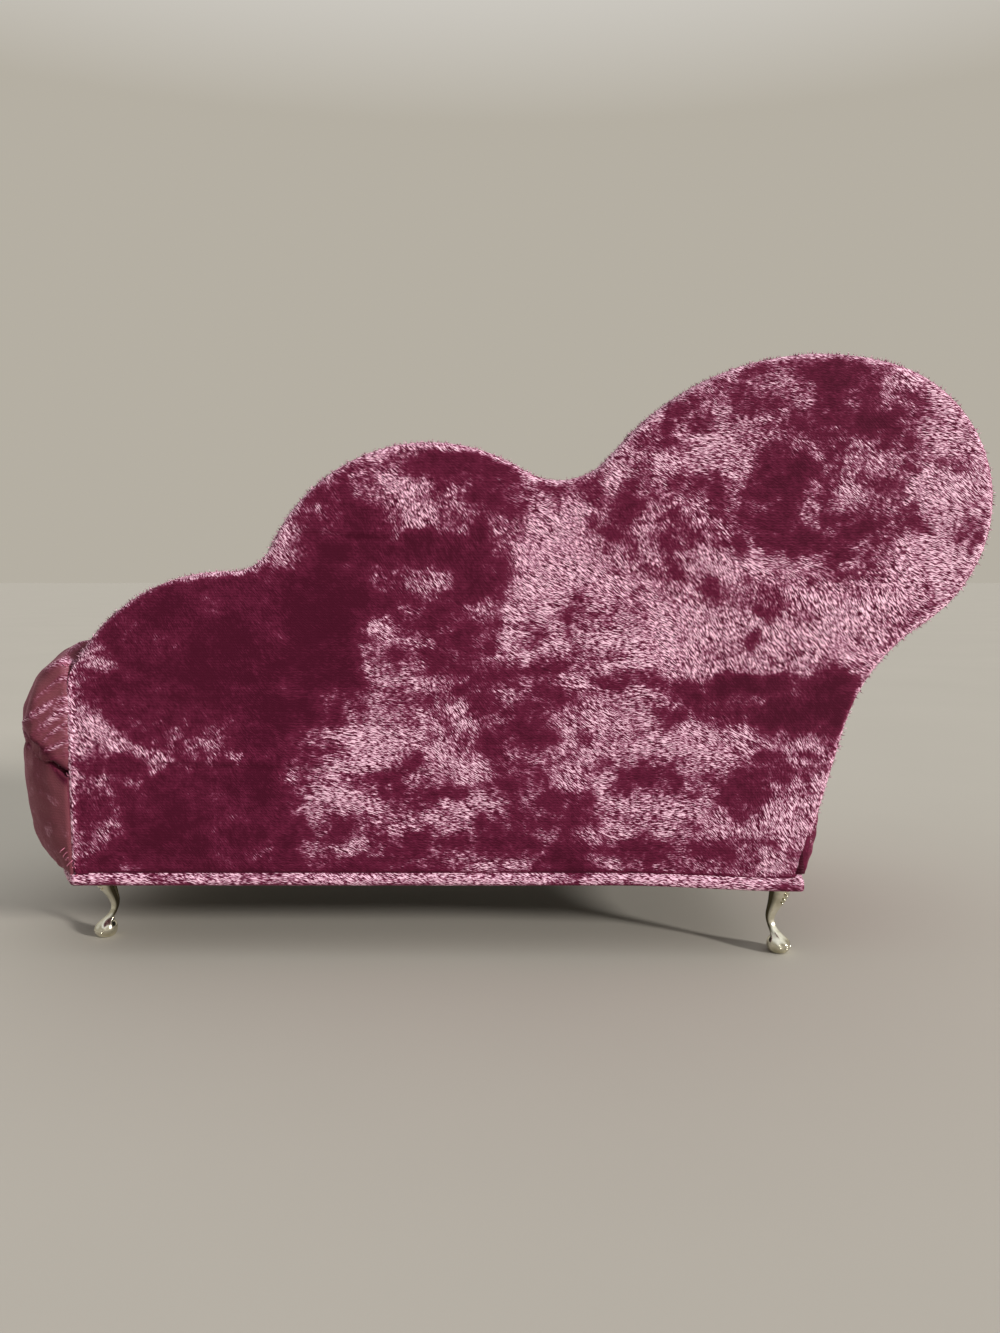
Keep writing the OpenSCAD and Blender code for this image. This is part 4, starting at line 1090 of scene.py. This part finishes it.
class CHAISE_OT_inside_back(bpy.types.Operator):
    """Makes the deep buttoned padding on the front of the back panel, and its buttons"""
    bl_idname = "chaise.inside_back"
    bl_label = "Inside back"

    def execute(self, context):
        pad = even_copy("inside_back_velvet", "inside_back_filling", 1.3, 0.85, 5)
        points = points_of(pad)
        buttons = button_points()
        front = smooth((BOARD_Y - 1.5 - points[:, 1]) / 3)
        groove, well = buttoning(points[:, [0, 2]], buttons[:, [0, 2]])
        points[:, 1] += (1.9 * groove + 2.2 * well - 0.35 * wander(points, 16, 2, seed=14)) * front
        points[:, 1] = np.minimum(points[:, 1], BOARD_Y - 0.05)
        move_points(pad, points)
        # The grooves and the buttons' wells are laid darker, as painted shade; the front is calmed, which
        # also draws it toward the painted sheen colour.
        nap = (0.24 - 0.65 * np.maximum(groove, well)) * front + 0.1 * wander(points, 30, 2, seed=15)
        set_nap(pad, nap, 0.0, 0.35 * front)
        finish_piece(pad, "velvet", ("inside_back_cover", "inside_back_filling"))

        studs = point_cloud("back_button_covers", buttons)
        sizes = {"Radius": BUTTON_RADIUS * MM, "Height": BUTTON_HEIGHT * MM}
        grow(studs, button_tree(), "crushed_velvet", sizes)
        finish_piece(studs, "velvet", ("back_buttons",))
        return {"FINISHED"}


# Repeats by Geometry Nodes
LOCKS_PER_POINT = 5    # locks of pile for each point of an edge
LOCK_THICKNESS = 0.13  # radius at a lock's root


def start_tree(name, inputs):
    """A geometry node group with a geometry in and out, a material and the named inputs. Returns it, what
    adds its nodes, and its inputs."""
    tree = bpy.data.node_groups.new(name, "GeometryNodeTree")
    for label, kind in [("Geometry", "Geometry")] + inputs + [("Material", "Material")]:
        tree.interface.new_socket(label, in_out="INPUT", socket_type="NodeSocket" + kind)
    tree.interface.new_socket("Geometry", in_out="OUTPUT", socket_type="NodeSocketGeometry")
    node = partial(add, tree)
    return tree, node, node("NodeGroupInput").outputs


def end_tree(tree, node, given, instances):
    """Ends a node group: its instances become a smooth mesh with the given material."""
    realized = node("GeometryNodeRealizeInstances", {"Geometry": instances})
    smoothed = node("GeometryNodeSetShadeSmooth", {"Geometry": realized})
    painted = node("GeometryNodeSetMaterial", {"Geometry": smoothed, "Material": given["Material"]})
    node("NodeGroupOutput", {"Geometry": painted})
    return tree


def grow(piece, tree, material, values):
    """Runs a node group on a piece and keeps the result as its mesh."""
    modifier = piece.modifiers.new(tree.name, "NODES")
    modifier.node_group = tree
    values = dict(values, Material=bpy.data.materials[material])
    for item in tree.interface.items_tree:
        if item.in_out == "INPUT" and item.name in values:
            modifier[item.identifier] = values[item.name]
    applied(piece)


def button_tree():
    """A domed velvet button at every point."""
    tree, node, given = start_tree("covered_buttons", [("Radius", "Float"), ("Height", "Float")])
    sphere = node("GeometryNodeMeshUVSphere", {"Segments": 24, "Rings": 12, "Radius": 1.0})
    size = node("ShaderNodeCombineXYZ", {"X": given["Radius"], "Y": given["Height"], "Z": given["Radius"]})
    shaped = node("GeometryNodeTransform", {"Geometry": sphere, "Scale": size})
    placed = node("GeometryNodeInstanceOnPoints", {"Points": given["Geometry"], "Instance": shaped})
    return end_tree(tree, node, given, placed)


def turned_instances(node, given, instance, angles, scale=1.0):
    """Instances at every point, turned by the point's own angles and at random by up to a few more."""
    own = node("GeometryNodeInputNamedAttribute", {"Name": "turn"}, data_type="FLOAT_VECTOR")
    tilt = node("FunctionNodeRandomValue", {0: [-a for a in angles], 1: angles, "Seed": given["Seed"]},
                data_type="FLOAT_VECTOR")
    turned = node("ShaderNodeVectorMath", {0: own, 1: tilt}, operation="ADD")
    size = node("ShaderNodeCombineXYZ", {"X": scale, "Y": scale, "Z": scale})
    return node("GeometryNodeInstanceOnPoints", {"Points": given["Geometry"], "Instance": instance,
                                                 "Rotation": turned, "Scale": size})


def stitch_tree():
    """A short bowed thread at every point, turned by the point's own angles, with a little unevenness."""
    tree, node, given = start_tree("hand_stitches", [("Length", "Float"), ("Thread", "Float"),
                                                     ("Bow", "Float"), ("Seed", "Int")])
    half = node("ShaderNodeMath", {0: given["Length"], 1: 0.5}, operation="MULTIPLY")
    back = node("ShaderNodeMath", {0: half, 1: -1.0}, operation="MULTIPLY")
    start = node("ShaderNodeCombineXYZ", {"X": back})
    top = node("ShaderNodeCombineXYZ", {"Z": given["Bow"]})
    end = node("ShaderNodeCombineXYZ", {"X": half})
    bow = node("GeometryNodeCurveQuadraticBezier", {"Resolution": 6, "Start": start, "Middle": top,
                                                    "End": end})
    ring = node("GeometryNodeCurvePrimitiveCircle", {"Resolution": 6, "Radius": given["Thread"]})
    thread = node("GeometryNodeCurveToMesh", {"Curve": bow, "Profile Curve": ring, "Fill Caps": True})
    return end_tree(tree, node, given, turned_instances(node, given, thread, (0.12, 0.12, 0.3)))


def lock_tree():
    """A fine lock of pile at every point, turned by the point's own angles, no two of them quite as long."""
    tree, node, given = start_tree("pile_locks", [("Length", "Float"), ("Thickness", "Float"),
                                                  ("Seed", "Int")])
    lock = node("GeometryNodeMeshCone", {"Vertices": 4, "Side Segments": 1, "Fill Segments": 1,
                                         "Radius Top": 0.0, "Radius Bottom": given["Thickness"],
                                         "Depth": given["Length"]}, fill_type="NGON")
    size = node("FunctionNodeRandomValue", {2: 0.4, 3: 1.3, "Seed": given["Seed"]}, data_type="FLOAT")
    return end_tree(tree, node, given, turned_instances(node, given, lock, (0.5, 0.5, 0.5), size.outputs[1]))


def point_cloud(name, places, aims=(), ways=()):
    """Points in millimetres. With angles, what grows on them stands along its aim and lies along its way."""
    cloud = bpy.data.meshes.new(name)
    cloud.from_pydata([tuple(np.asarray(p) * MM) for p in places], [], [])
    if len(aims):
        turn = cloud.attributes.new("turn", "FLOAT_VECTOR", "POINT")
    for k, (aim, way) in enumerate(zip(aims, ways)):
        z = Vector(aim).normalized()
        x = Vector(way) - z * Vector(way).dot(z)
        x.normalize()
        turn.data[k].vector = Matrix((x, z.cross(x), z)).transposed().to_euler()
    return new_piece(name, cloud)


def stitches(name, rows, length, bow, seed, tree):
    """Threads in millimetres. Each row gives a thread's place, the way it bows and the way it lies."""
    piece = point_cloud(name, *zip(*rows))
    thread = bpy.context.scene.chaise_stitch.thread
    grow(piece, tree, "polyester_thread", {"Length": length * MM, "Thread": thread, "Bow": bow * MM,
                                           "Seed": seed})
    finish_piece(piece, "velvet")


def fringe(name, line, outward, depths, seed):
    """Locks of pile that stand out of an edge: places in x and z, their outward way, and their least and
    greatest depth."""
    rng = np.random.default_rng(seed)
    pick = rng.integers(0, len(line), len(line) * LOCKS_PER_POINT)
    slide = rng.uniform(-0.5, 0.5, len(pick))
    out = outward[pick]
    at = line[pick] + np.column_stack([-out[:, 1], out[:, 0]]) * slide[:, None]
    places = upright(at, rng.uniform(*depths, len(pick)))
    aims = upright(out, rng.uniform(-0.1, 0.7, len(pick)))
    piece = point_cloud(name, places, aims, np.tile((0.0, 1.0, 0.0), (len(pick), 1)))
    # The locks are laid light: a painted highlight of pile that catches the light along the edge.
    set_value(piece, "nap", rng.uniform(0.3, 1.1, len(pick)))
    grow(piece, lock_tree(), "crushed_velvet", {"Length": bpy.context.scene.chaise_velvet.edge_pile,
                                                "Thickness": LOCK_THICKNESS * MM, "Seed": seed})
    finish_piece(piece, "velvet")


class CHAISE_OT_stitches(bpy.types.Operator):
    """Sews the ladder stitches along the panel's foot edge and the whip stitches at its lower corner"""
    bl_idname = "chaise.stitches"
    bl_label = "Stitches"

    def execute(self, context):
        tree = stitch_tree()
        rng = np.random.default_rng(11)
        ladder = []
        for k, z in enumerate(np.arange(BOX_Z + 2, 95, context.scene.chaise_stitch.pitch / MM)):
            place = (SEAM_X + 0.25 + 0.12 * rng.standard_normal(), REAR_Y - 0.75, z)
            ladder.append((place, (0.5, 0.85, 0), (1, -0.45, 0.75 if k % 2 else 0.35)))
        stitches("ladder_stitches", ladder, 2.1, 0.7, 3, tree)

        band = bpy.data.objects["side_band_velvet"]
        low, high = np.array([SEAM_X - 4.5, BASE_LOW[2] + 2.2]), np.array([SEAM_X + 4.0, BASE_LOW[2] + 11.0])
        whip = []
        for x, z in np.linspace(low, high, 8):
            found, place, normal, _ = band.closest_point_on_mesh(Vector((x, REAR_Y, z)) * MM)
            if found:
                whip.append((np.array(place) / MM + np.array(normal) * 0.1, tuple(normal), (0.8, 0, -0.5)))
        stitches("corner_whip_stitches", whip, 3.0, 0.9, 5, tree)
        return {"FINISHED"}


# The head rest
def swept(name, profile, y_rear, y_front, edge, step, lift):
    """A closed roll: a profile in x and z carried from the rear to the front, rounded at its front edge.
    lift(points) gives how far each point stands out of the plain shape."""
    outward = normals_of(profile)
    stops = [(y, 0.0) for y in np.arange(y_rear, y_front + edge, -step)]
    stops += [(y_front + edge * (1 - math.sin(a)), edge * (1 - math.cos(a)))
              for a in np.linspace(0, math.pi / 2, 7)]
    shell = Shell()
    rows = [shell.add_points(upright(profile - outward * draw, y)) for y, draw in stops]
    shell.grid(rows, closed=True)
    shell.cap(shell.place()[rows[0]][:, [0, 2]], y_rear)
    shell.cap(shell.place()[rows[-1]][:, [0, 2]], y_front, 6, forward=True)
    piece = shell.make(name)
    points = points_of(piece)
    move_points(piece, points + vertex_normals(piece) * lift(points)[:, None])
    return piece


class CHAISE_OT_head_rest(bpy.types.Operator):
    """Makes the padded roll of the head rest and the facing on its front"""
    bl_idname = "chaise.head_rest"
    bl_label = "Head rest"

    def execute(self, context):
        profile = resample(outline_of("head_cover", 1, 1), 1.7, closed=True)
        low, high = corner("head_cover", 0), corner("head_cover", 1)

        def lift(points):
            """Unevenness of the padding, which ends at the seat and at the back panel."""
            free = smooth((points[:, 2] - low[2] - 2) / 8) * smooth((high[1] - points[:, 1]) / 5)
            return free * (0.7 * wander(points, 24, 3, seed=20) + 0.25 * wander(points, 7, 2, seed=21) - 0.2)

        roll = swept("head_rest_velvet", profile, high[1], low[1], 3.0, 1.9, lift)
        set_nap(roll, 0.2 * wander(points_of(roll), 26, 2, seed=22))
        finish_piece(roll, "velvet", ("head_cover", "head_filling"))

        loop = resample(outline_of("head_facing_cover", 1, 0), 1.3, closed=True)
        points, tris, inset, rim = patch(loop, [0.3, 0.8, 1.5, 2.4], 2.2)
        y = HEAD_FRONT_Y + 1.6 * (1 - rounded(inset / 1.6))
        y += 0.15 * wander(upright(points, y), 12, 2, seed=23) * smooth(inset / 3)
        rear_y = corner("head_facing_cover", 1)[1] + 0.3
        shell = Shell()
        front = shell.add_points(upright(points, y))
        shell.add_faces(front[tris][:, ::-1])
        shell.grid([front[rim], shell.add_points(upright(loop, rear_y))], closed=True)
        shell.cap(loop, rear_y)
        facing = shell.make("head_facing_velvet")
        set_nap(facing, 0.25 * wander(points_of(facing), 22, 2, seed=24))
        finish_piece(facing, "velvet", ("head_facing_cover",))
        return {"FINISHED"}


# The legs
LEG_RADIUS = 3.7  # radius of the rod that the casting is drawn round
LEG_SWEEP = 3.6   # how far the knee and the foot stand out from the pin
LEG_SIDES = 40    # points round a section
PIN_RADIUS = 1.25

# Stations of the cast leg: share of its height, outward sweep, radius, how far it is hollowed behind, and how
# sharp its outer ridge is
LEG_STATIONS = np.array([
    (0.00, 1.00, 0.66, 0.0, 0.0), (0.02, 1.00, 0.84, 0.0, 0.0), (0.06, 1.00, 0.98, 0.0, 0.0),
    (0.11, 0.99, 1.02, 0.0, 0.1), (0.155, 0.95, 0.97, 0.0, 0.2), (0.195, 0.87, 0.84, 0.1, 0.3),
    (0.235, 0.73, 0.66, 0.3, 0.5), (0.275, 0.52, 0.52, 0.5, 0.7), (0.32, 0.31, 0.43, 0.6, 0.8),
    (0.37, 0.14, 0.40, 0.65, 0.9), (0.43, 0.05, 0.43, 0.7, 1.0), (0.49, 0.09, 0.52, 0.8, 1.0),
    (0.55, 0.20, 0.62, 0.9, 1.0), (0.63, 0.42, 0.76, 0.95, 1.0), (0.71, 0.64, 0.90, 1.0, 1.0),
    (0.79, 0.80, 1.02, 1.0, 1.0), (0.87, 0.88, 1.10, 0.9, 0.9), (0.935, 0.86, 1.12, 0.7, 0.8),
    (0.975, 0.80, 1.10, 0.3, 0.6), (1.0, 0.74, 1.06, 0.0, 0.5)])

# Beads down the knee: share of the leg's height, and radius
KNEE_BEADS = ((0.925, 0.72), (0.86, 0.70), (0.795, 0.62), (0.735, 0.52), (0.68, 0.42))


def at_station(share):
    """Sweep, radius, hollow and sharpness of the leg at a share of its height."""
    return [np.interp(share, LEG_STATIONS[:, 0], column) for column in LEG_STATIONS[:, 1:].T]


def leg_section(hollow, sharp):
    """Outline of the leg at one height, outwards and aside, for a radius of 1: a round rod, or a folded wing
    of casting with its ridge outwards and its back hollowed."""
    wing = np.array([(1.02, 0.0), (0.78, 0.24), (0.50, 0.50), (0.22, 0.72), (-0.20, 0.84), (-0.62, 0.80),
                     (-0.66, 0.56), (-0.20, 0.36), (0.08, 0.14), (0.16, 0.0)])
    rod = np.array([(math.cos(a), math.sin(a)) for a in np.linspace(0, math.pi, len(wing))])
    half = wing.copy()
    outer, inner = slice(0, 6), slice(6, 10)
    half[outer] = rod[outer] + sharp * (wing[outer] - rod[outer])
    half[inner] = rod[inner] + hollow * (wing[inner] - rod[inner])
    whole = np.vstack([half, half[1:-1][::-1] * np.array([1, -1])])
    step = lengths_along(np.vstack([whole, whole[:1]]))[-1] / LEG_SIDES
    return resample(whole, step, closed=True)


def ball(shell, middle, radius, segments=16, rings=8):
    """Adds a closed ball to a shell."""
    turns = np.linspace(0, 2 * math.pi, segments + 1)[:-1]
    rows = []
    for a in math.pi * np.arange(1, rings) / rings:
        ring = level(math.sin(a) * np.column_stack([np.cos(turns), np.sin(turns)]), math.cos(a))
        rows.append(shell.add_points(middle + radius * ring))
    shell.grid(rows, closed=True)
    top, low = shell.add_points([middle + np.array([0, 0, radius]), middle - np.array([0, 0, radius])])
    shell.fan(rows[0], top)
    shell.fan(rows[-1], low)


def join(piece, other):
    """Adds another piece's mesh to a piece, and removes the other one."""
    bm = bmesh.new()
    bm.from_mesh(piece.data)
    bm.from_mesh(other.data)
    bm.to_mesh(piece.data)
    bm.free()
    bpy.data.objects.remove(other)
    piece.data.shade_smooth()


class Leg:
    """One leg's place in the frame: its pin, its height, and the way that it sweeps and its ridge looks."""

    def __init__(self, name):
        self.name, self.height = name, BASE_LOW[2]
        places = corners_of(name)
        top = places[places[:, 2] > places[:, 2].max() - 0.1]
        foot = places[places[:, 2] < 0.1]
        self.pin = (top.max(axis=0) + top.min(axis=0)) / 2
        away = ((foot.max(axis=0) + foot.min(axis=0)) / 2 - self.pin)[:2]
        self.reach = np.linalg.norm(away)
        self.away = unit(away)
        self.ridge = unit(self.away + np.array([0.85 * np.sign(self.away[0]), 0]))
        self.aside = np.array([-self.ridge[1], self.ridge[0]])

    def points(self, sweep, ahead, aside, share):
        """Points of the leg: its sweep there, their places ahead and aside, and their share of its height."""
        middle = self.pin[:2] + (sweep * LEG_SWEEP - LEG_SWEEP + self.reach) * self.away
        return level(middle + np.outer(ahead, self.ridge) + np.outer(aside, self.aside), share * self.height)

    def casting(self):
        """The casting: sections from the foot up, with ribs at the toes, smoothed, and with painted shade on
        its back, away from its ridge.
        """
        shell = Shell()
        rows = []
        for share in np.linspace(0, 1, 45) ** 1.12:
            sweep, size, hollow, sharp = at_station(share)
            section = leg_section(hollow, sharp) * size * LEG_RADIUS
            turn = np.arctan2(section[:, 1], section[:, 0])
            ribs = (0.5 + 0.5 * np.cos(turn * 6 + share * 26)) * bump(share - 0.13, 0.07)
            section *= (1 + 0.16 * ribs * smooth((1.7 - np.abs(turn)) / 0.4))[:, None]
            rows.append(shell.add_points(self.points(sweep, section[:, 0], section[:, 1], share)))
        shell.grid(rows, closed=True)
        for row in (rows[0], rows[-1]):
            shell.fan(row, shell.add_points([shell.place()[row].mean(axis=0)])[0])
        piece = shell.make(self.name + "_casting")
        # The side that looks away from the ridge, above the pad, gets painted shade.
        back = -vertex_normals(piece)[:, :2] @ self.ridge
        set_value(piece, "painted_shade", smooth((back + 0.4) / 0.35) * smooth((points_of(piece)[:, 2] - 4) / 4))
        divide = piece.modifiers.new("divide", "SUBSURF")
        divide.levels = divide.render_levels = 1
        applied(piece)
        piece.data.shade_smooth()
        return piece

    def beads(self):
        """The beads down the knee, and the rows of small ones that make the five toes."""
        shell = Shell()
        for share, size in KNEE_BEADS:
            sweep, wide, _, _ = at_station(share)
            wide *= LEG_RADIUS
            seen = 0.34 * wide * np.sign(self.aside[1] * self.away[1])
            ball(shell, self.points(sweep, [0.84 * wide - 0.15 * size], [seen], share)[0], size)
        for lean in (0, 0.62, -0.62, 1.24, -1.24):
            for step in np.linspace(0, 1, 9):
                far = LEG_RADIUS * (1.0 - 0.55 * step ** 2)
                middle = self.points(1.0 - 0.22 * step, [far * math.cos(lean)], [far * math.sin(lean)],
                                     0.08 + 0.13 * step)[0]
                ball(shell, middle, 0.40, 10, 6)
        return shell.make(self.name + "_beads")

    def stem(self):
        """The pin that goes into the base."""
        shell = Shell()
        turn = [self.pin[:2] + PIN_RADIUS * np.array([math.cos(a), math.sin(a)])
                for a in np.linspace(0, 2 * math.pi, 17)[:-1]]
        rings = [shell.add_points(level(np.array(turn), z)) for z in (self.height - 1.5, self.pin[2])]
        shell.grid(rings, closed=True)
        shell.add_faces([rings[0][::-1], rings[1]])
        return shell.make(self.name + "_pin")


class CHAISE_OT_legs(bpy.types.Operator):
    """Makes the four cast cabriole legs on their pins"""
    bl_idname = "chaise.legs"
    bl_label = "Legs"

    def execute(self, context):
        for name in ("leg_rear_head", "leg_rear_foot", "leg_front_head", "leg_front_foot"):
            leg = Leg(name)
            piece = leg.casting()
            join(piece, leg.beads())
            join(piece, leg.stem())
            finish_piece(piece, "cast_metal", (name,))
        return {"FINISHED"}


# Floor, light and camera
class CHAISE_OT_stage(bpy.types.Operator):
    """Sets up the paper floor, soft daylight from the camera's right and the camera"""
    bl_idname = "chaise.stage"
    bl_label = "Stage"

    def execute(self, context):
        scene = context.scene
        side = 30.0
        mesh = bpy.data.meshes.new("paper_floor")
        mesh.from_pydata([(-side, -side, 0), (side, -side, 0), (side, side, 0), (-side, side, 0)], [],
                         [(0, 1, 2, 3)])
        mesh.materials.append(bpy.data.materials["pale_paper"])
        new_piece("paper_floor", mesh)

        world = bpy.data.worlds.new("pale_room")
        world.use_nodes = True
        node = partial(add, world.node_tree)
        way = node("ShaderNodeTexCoord").outputs["Generated"]
        height = node("ShaderNodeSeparateXYZ", {0: way}).outputs["Z"]
        sky = node("ShaderNodeValToRGB", {"Fac": height},
                   [(0.0, "#b2aca0"), (0.4, "#b2aca0"), (0.75, "#ffffff"), (1.0, "#ffffff")])
        window = node("ShaderNodeVectorMath", {0: way, 1: (0.75, 0.66, 0)}, operation="DOT_PRODUCT")
        room = node("ShaderNodeMapRange", {"Value": window.outputs["Value"], "From Min": -0.2,
                                           "From Max": 0.6, "To Min": 1.04, "To Max": 0.76})
        background = world.node_tree.nodes["Background"]
        world.node_tree.links.new(sky.outputs[0], background.inputs["Color"])
        world.node_tree.links.new(room.outputs[0], background.inputs["Strength"])
        scene.world = world

        sun = bpy.data.lights.new("daylight", "SUN")
        sun.energy, sun.angle = 3.4, math.radians(7)
        sun.color = linear("#fffaf5")[:3]
        lamp = new_piece("daylight", sun)
        lamp.rotation_euler = Vector((-0.83, 0.56, 0.31)).to_track_quat("Z", "Y").to_euler()
        scene.view_settings.view_transform = "Standard"

        lens = bpy.data.cameras.new("camera")
        lens.sensor_width, lens.lens = 36, scene.chaise_stage.lens
        lens.clip_start, lens.clip_end = 0.01, 100
        camera = new_piece("camera", lens)
        camera.location = scene.chaise_stage.eye
        camera.rotation_euler = (math.pi / 2 - scene.chaise_stage.pitch, 0, math.pi)
        scene.camera = camera
        return {"FINISHED"}


class CHAISE_PT_panel(bpy.types.Panel):
    """The settings and the steps"""
    bl_label = "Velvet chaise longue"
    bl_idname = "CHAISE_PT_panel"
    bl_space_type = "VIEW_3D"
    bl_region_type = "UI"
    bl_category = "Chaise"

    def draw(self, context):
        for kind, title, _ in GROUPS:
            box = self.layout.box()
            box.label(text=title)
            settings = getattr(context.scene, kind)
            for name in settings.__annotations__:
                box.prop(settings, name)
        for step in STEPS:
            self.layout.operator(step.bl_idname)


GROUPS = (("chaise_velvet", "Velvet", VelvetSettings), ("chaise_cover", "Covers", CoverSettings),
          ("chaise_stitch", "Stitches", StitchSettings), ("chaise_stage", "Stage", StageSettings))
STEPS = (CHAISE_OT_materials, CHAISE_OT_stage, CHAISE_OT_outer_back, CHAISE_OT_base, CHAISE_OT_side_band,
         CHAISE_OT_seat, CHAISE_OT_inside_back, CHAISE_OT_head_rest, CHAISE_OT_legs, CHAISE_OT_stitches)
CLASSES = tuple(settings for _, _, settings in GROUPS) + STEPS + (CHAISE_PT_panel,)


def register():
    """Adds the classes and the scene's settings."""
    for kind in CLASSES:
        bpy.utils.register_class(kind)
    for kind, _, settings in GROUPS:
        setattr(bpy.types.Scene, kind, bpy.props.PointerProperty(type=settings))


def unregister():
    """Takes the settings and the classes away again."""
    for kind, _, _ in GROUPS:
        delattr(bpy.types.Scene, kind)
    for kind in reversed(CLASSES):
        bpy.utils.unregister_class(kind)


def main():
    """Makes everything."""
    register()
    for step in STEPS:
        getattr(bpy.ops.chaise, step.bl_idname.split(".")[1])()


if __name__ == "__main__":
    main()
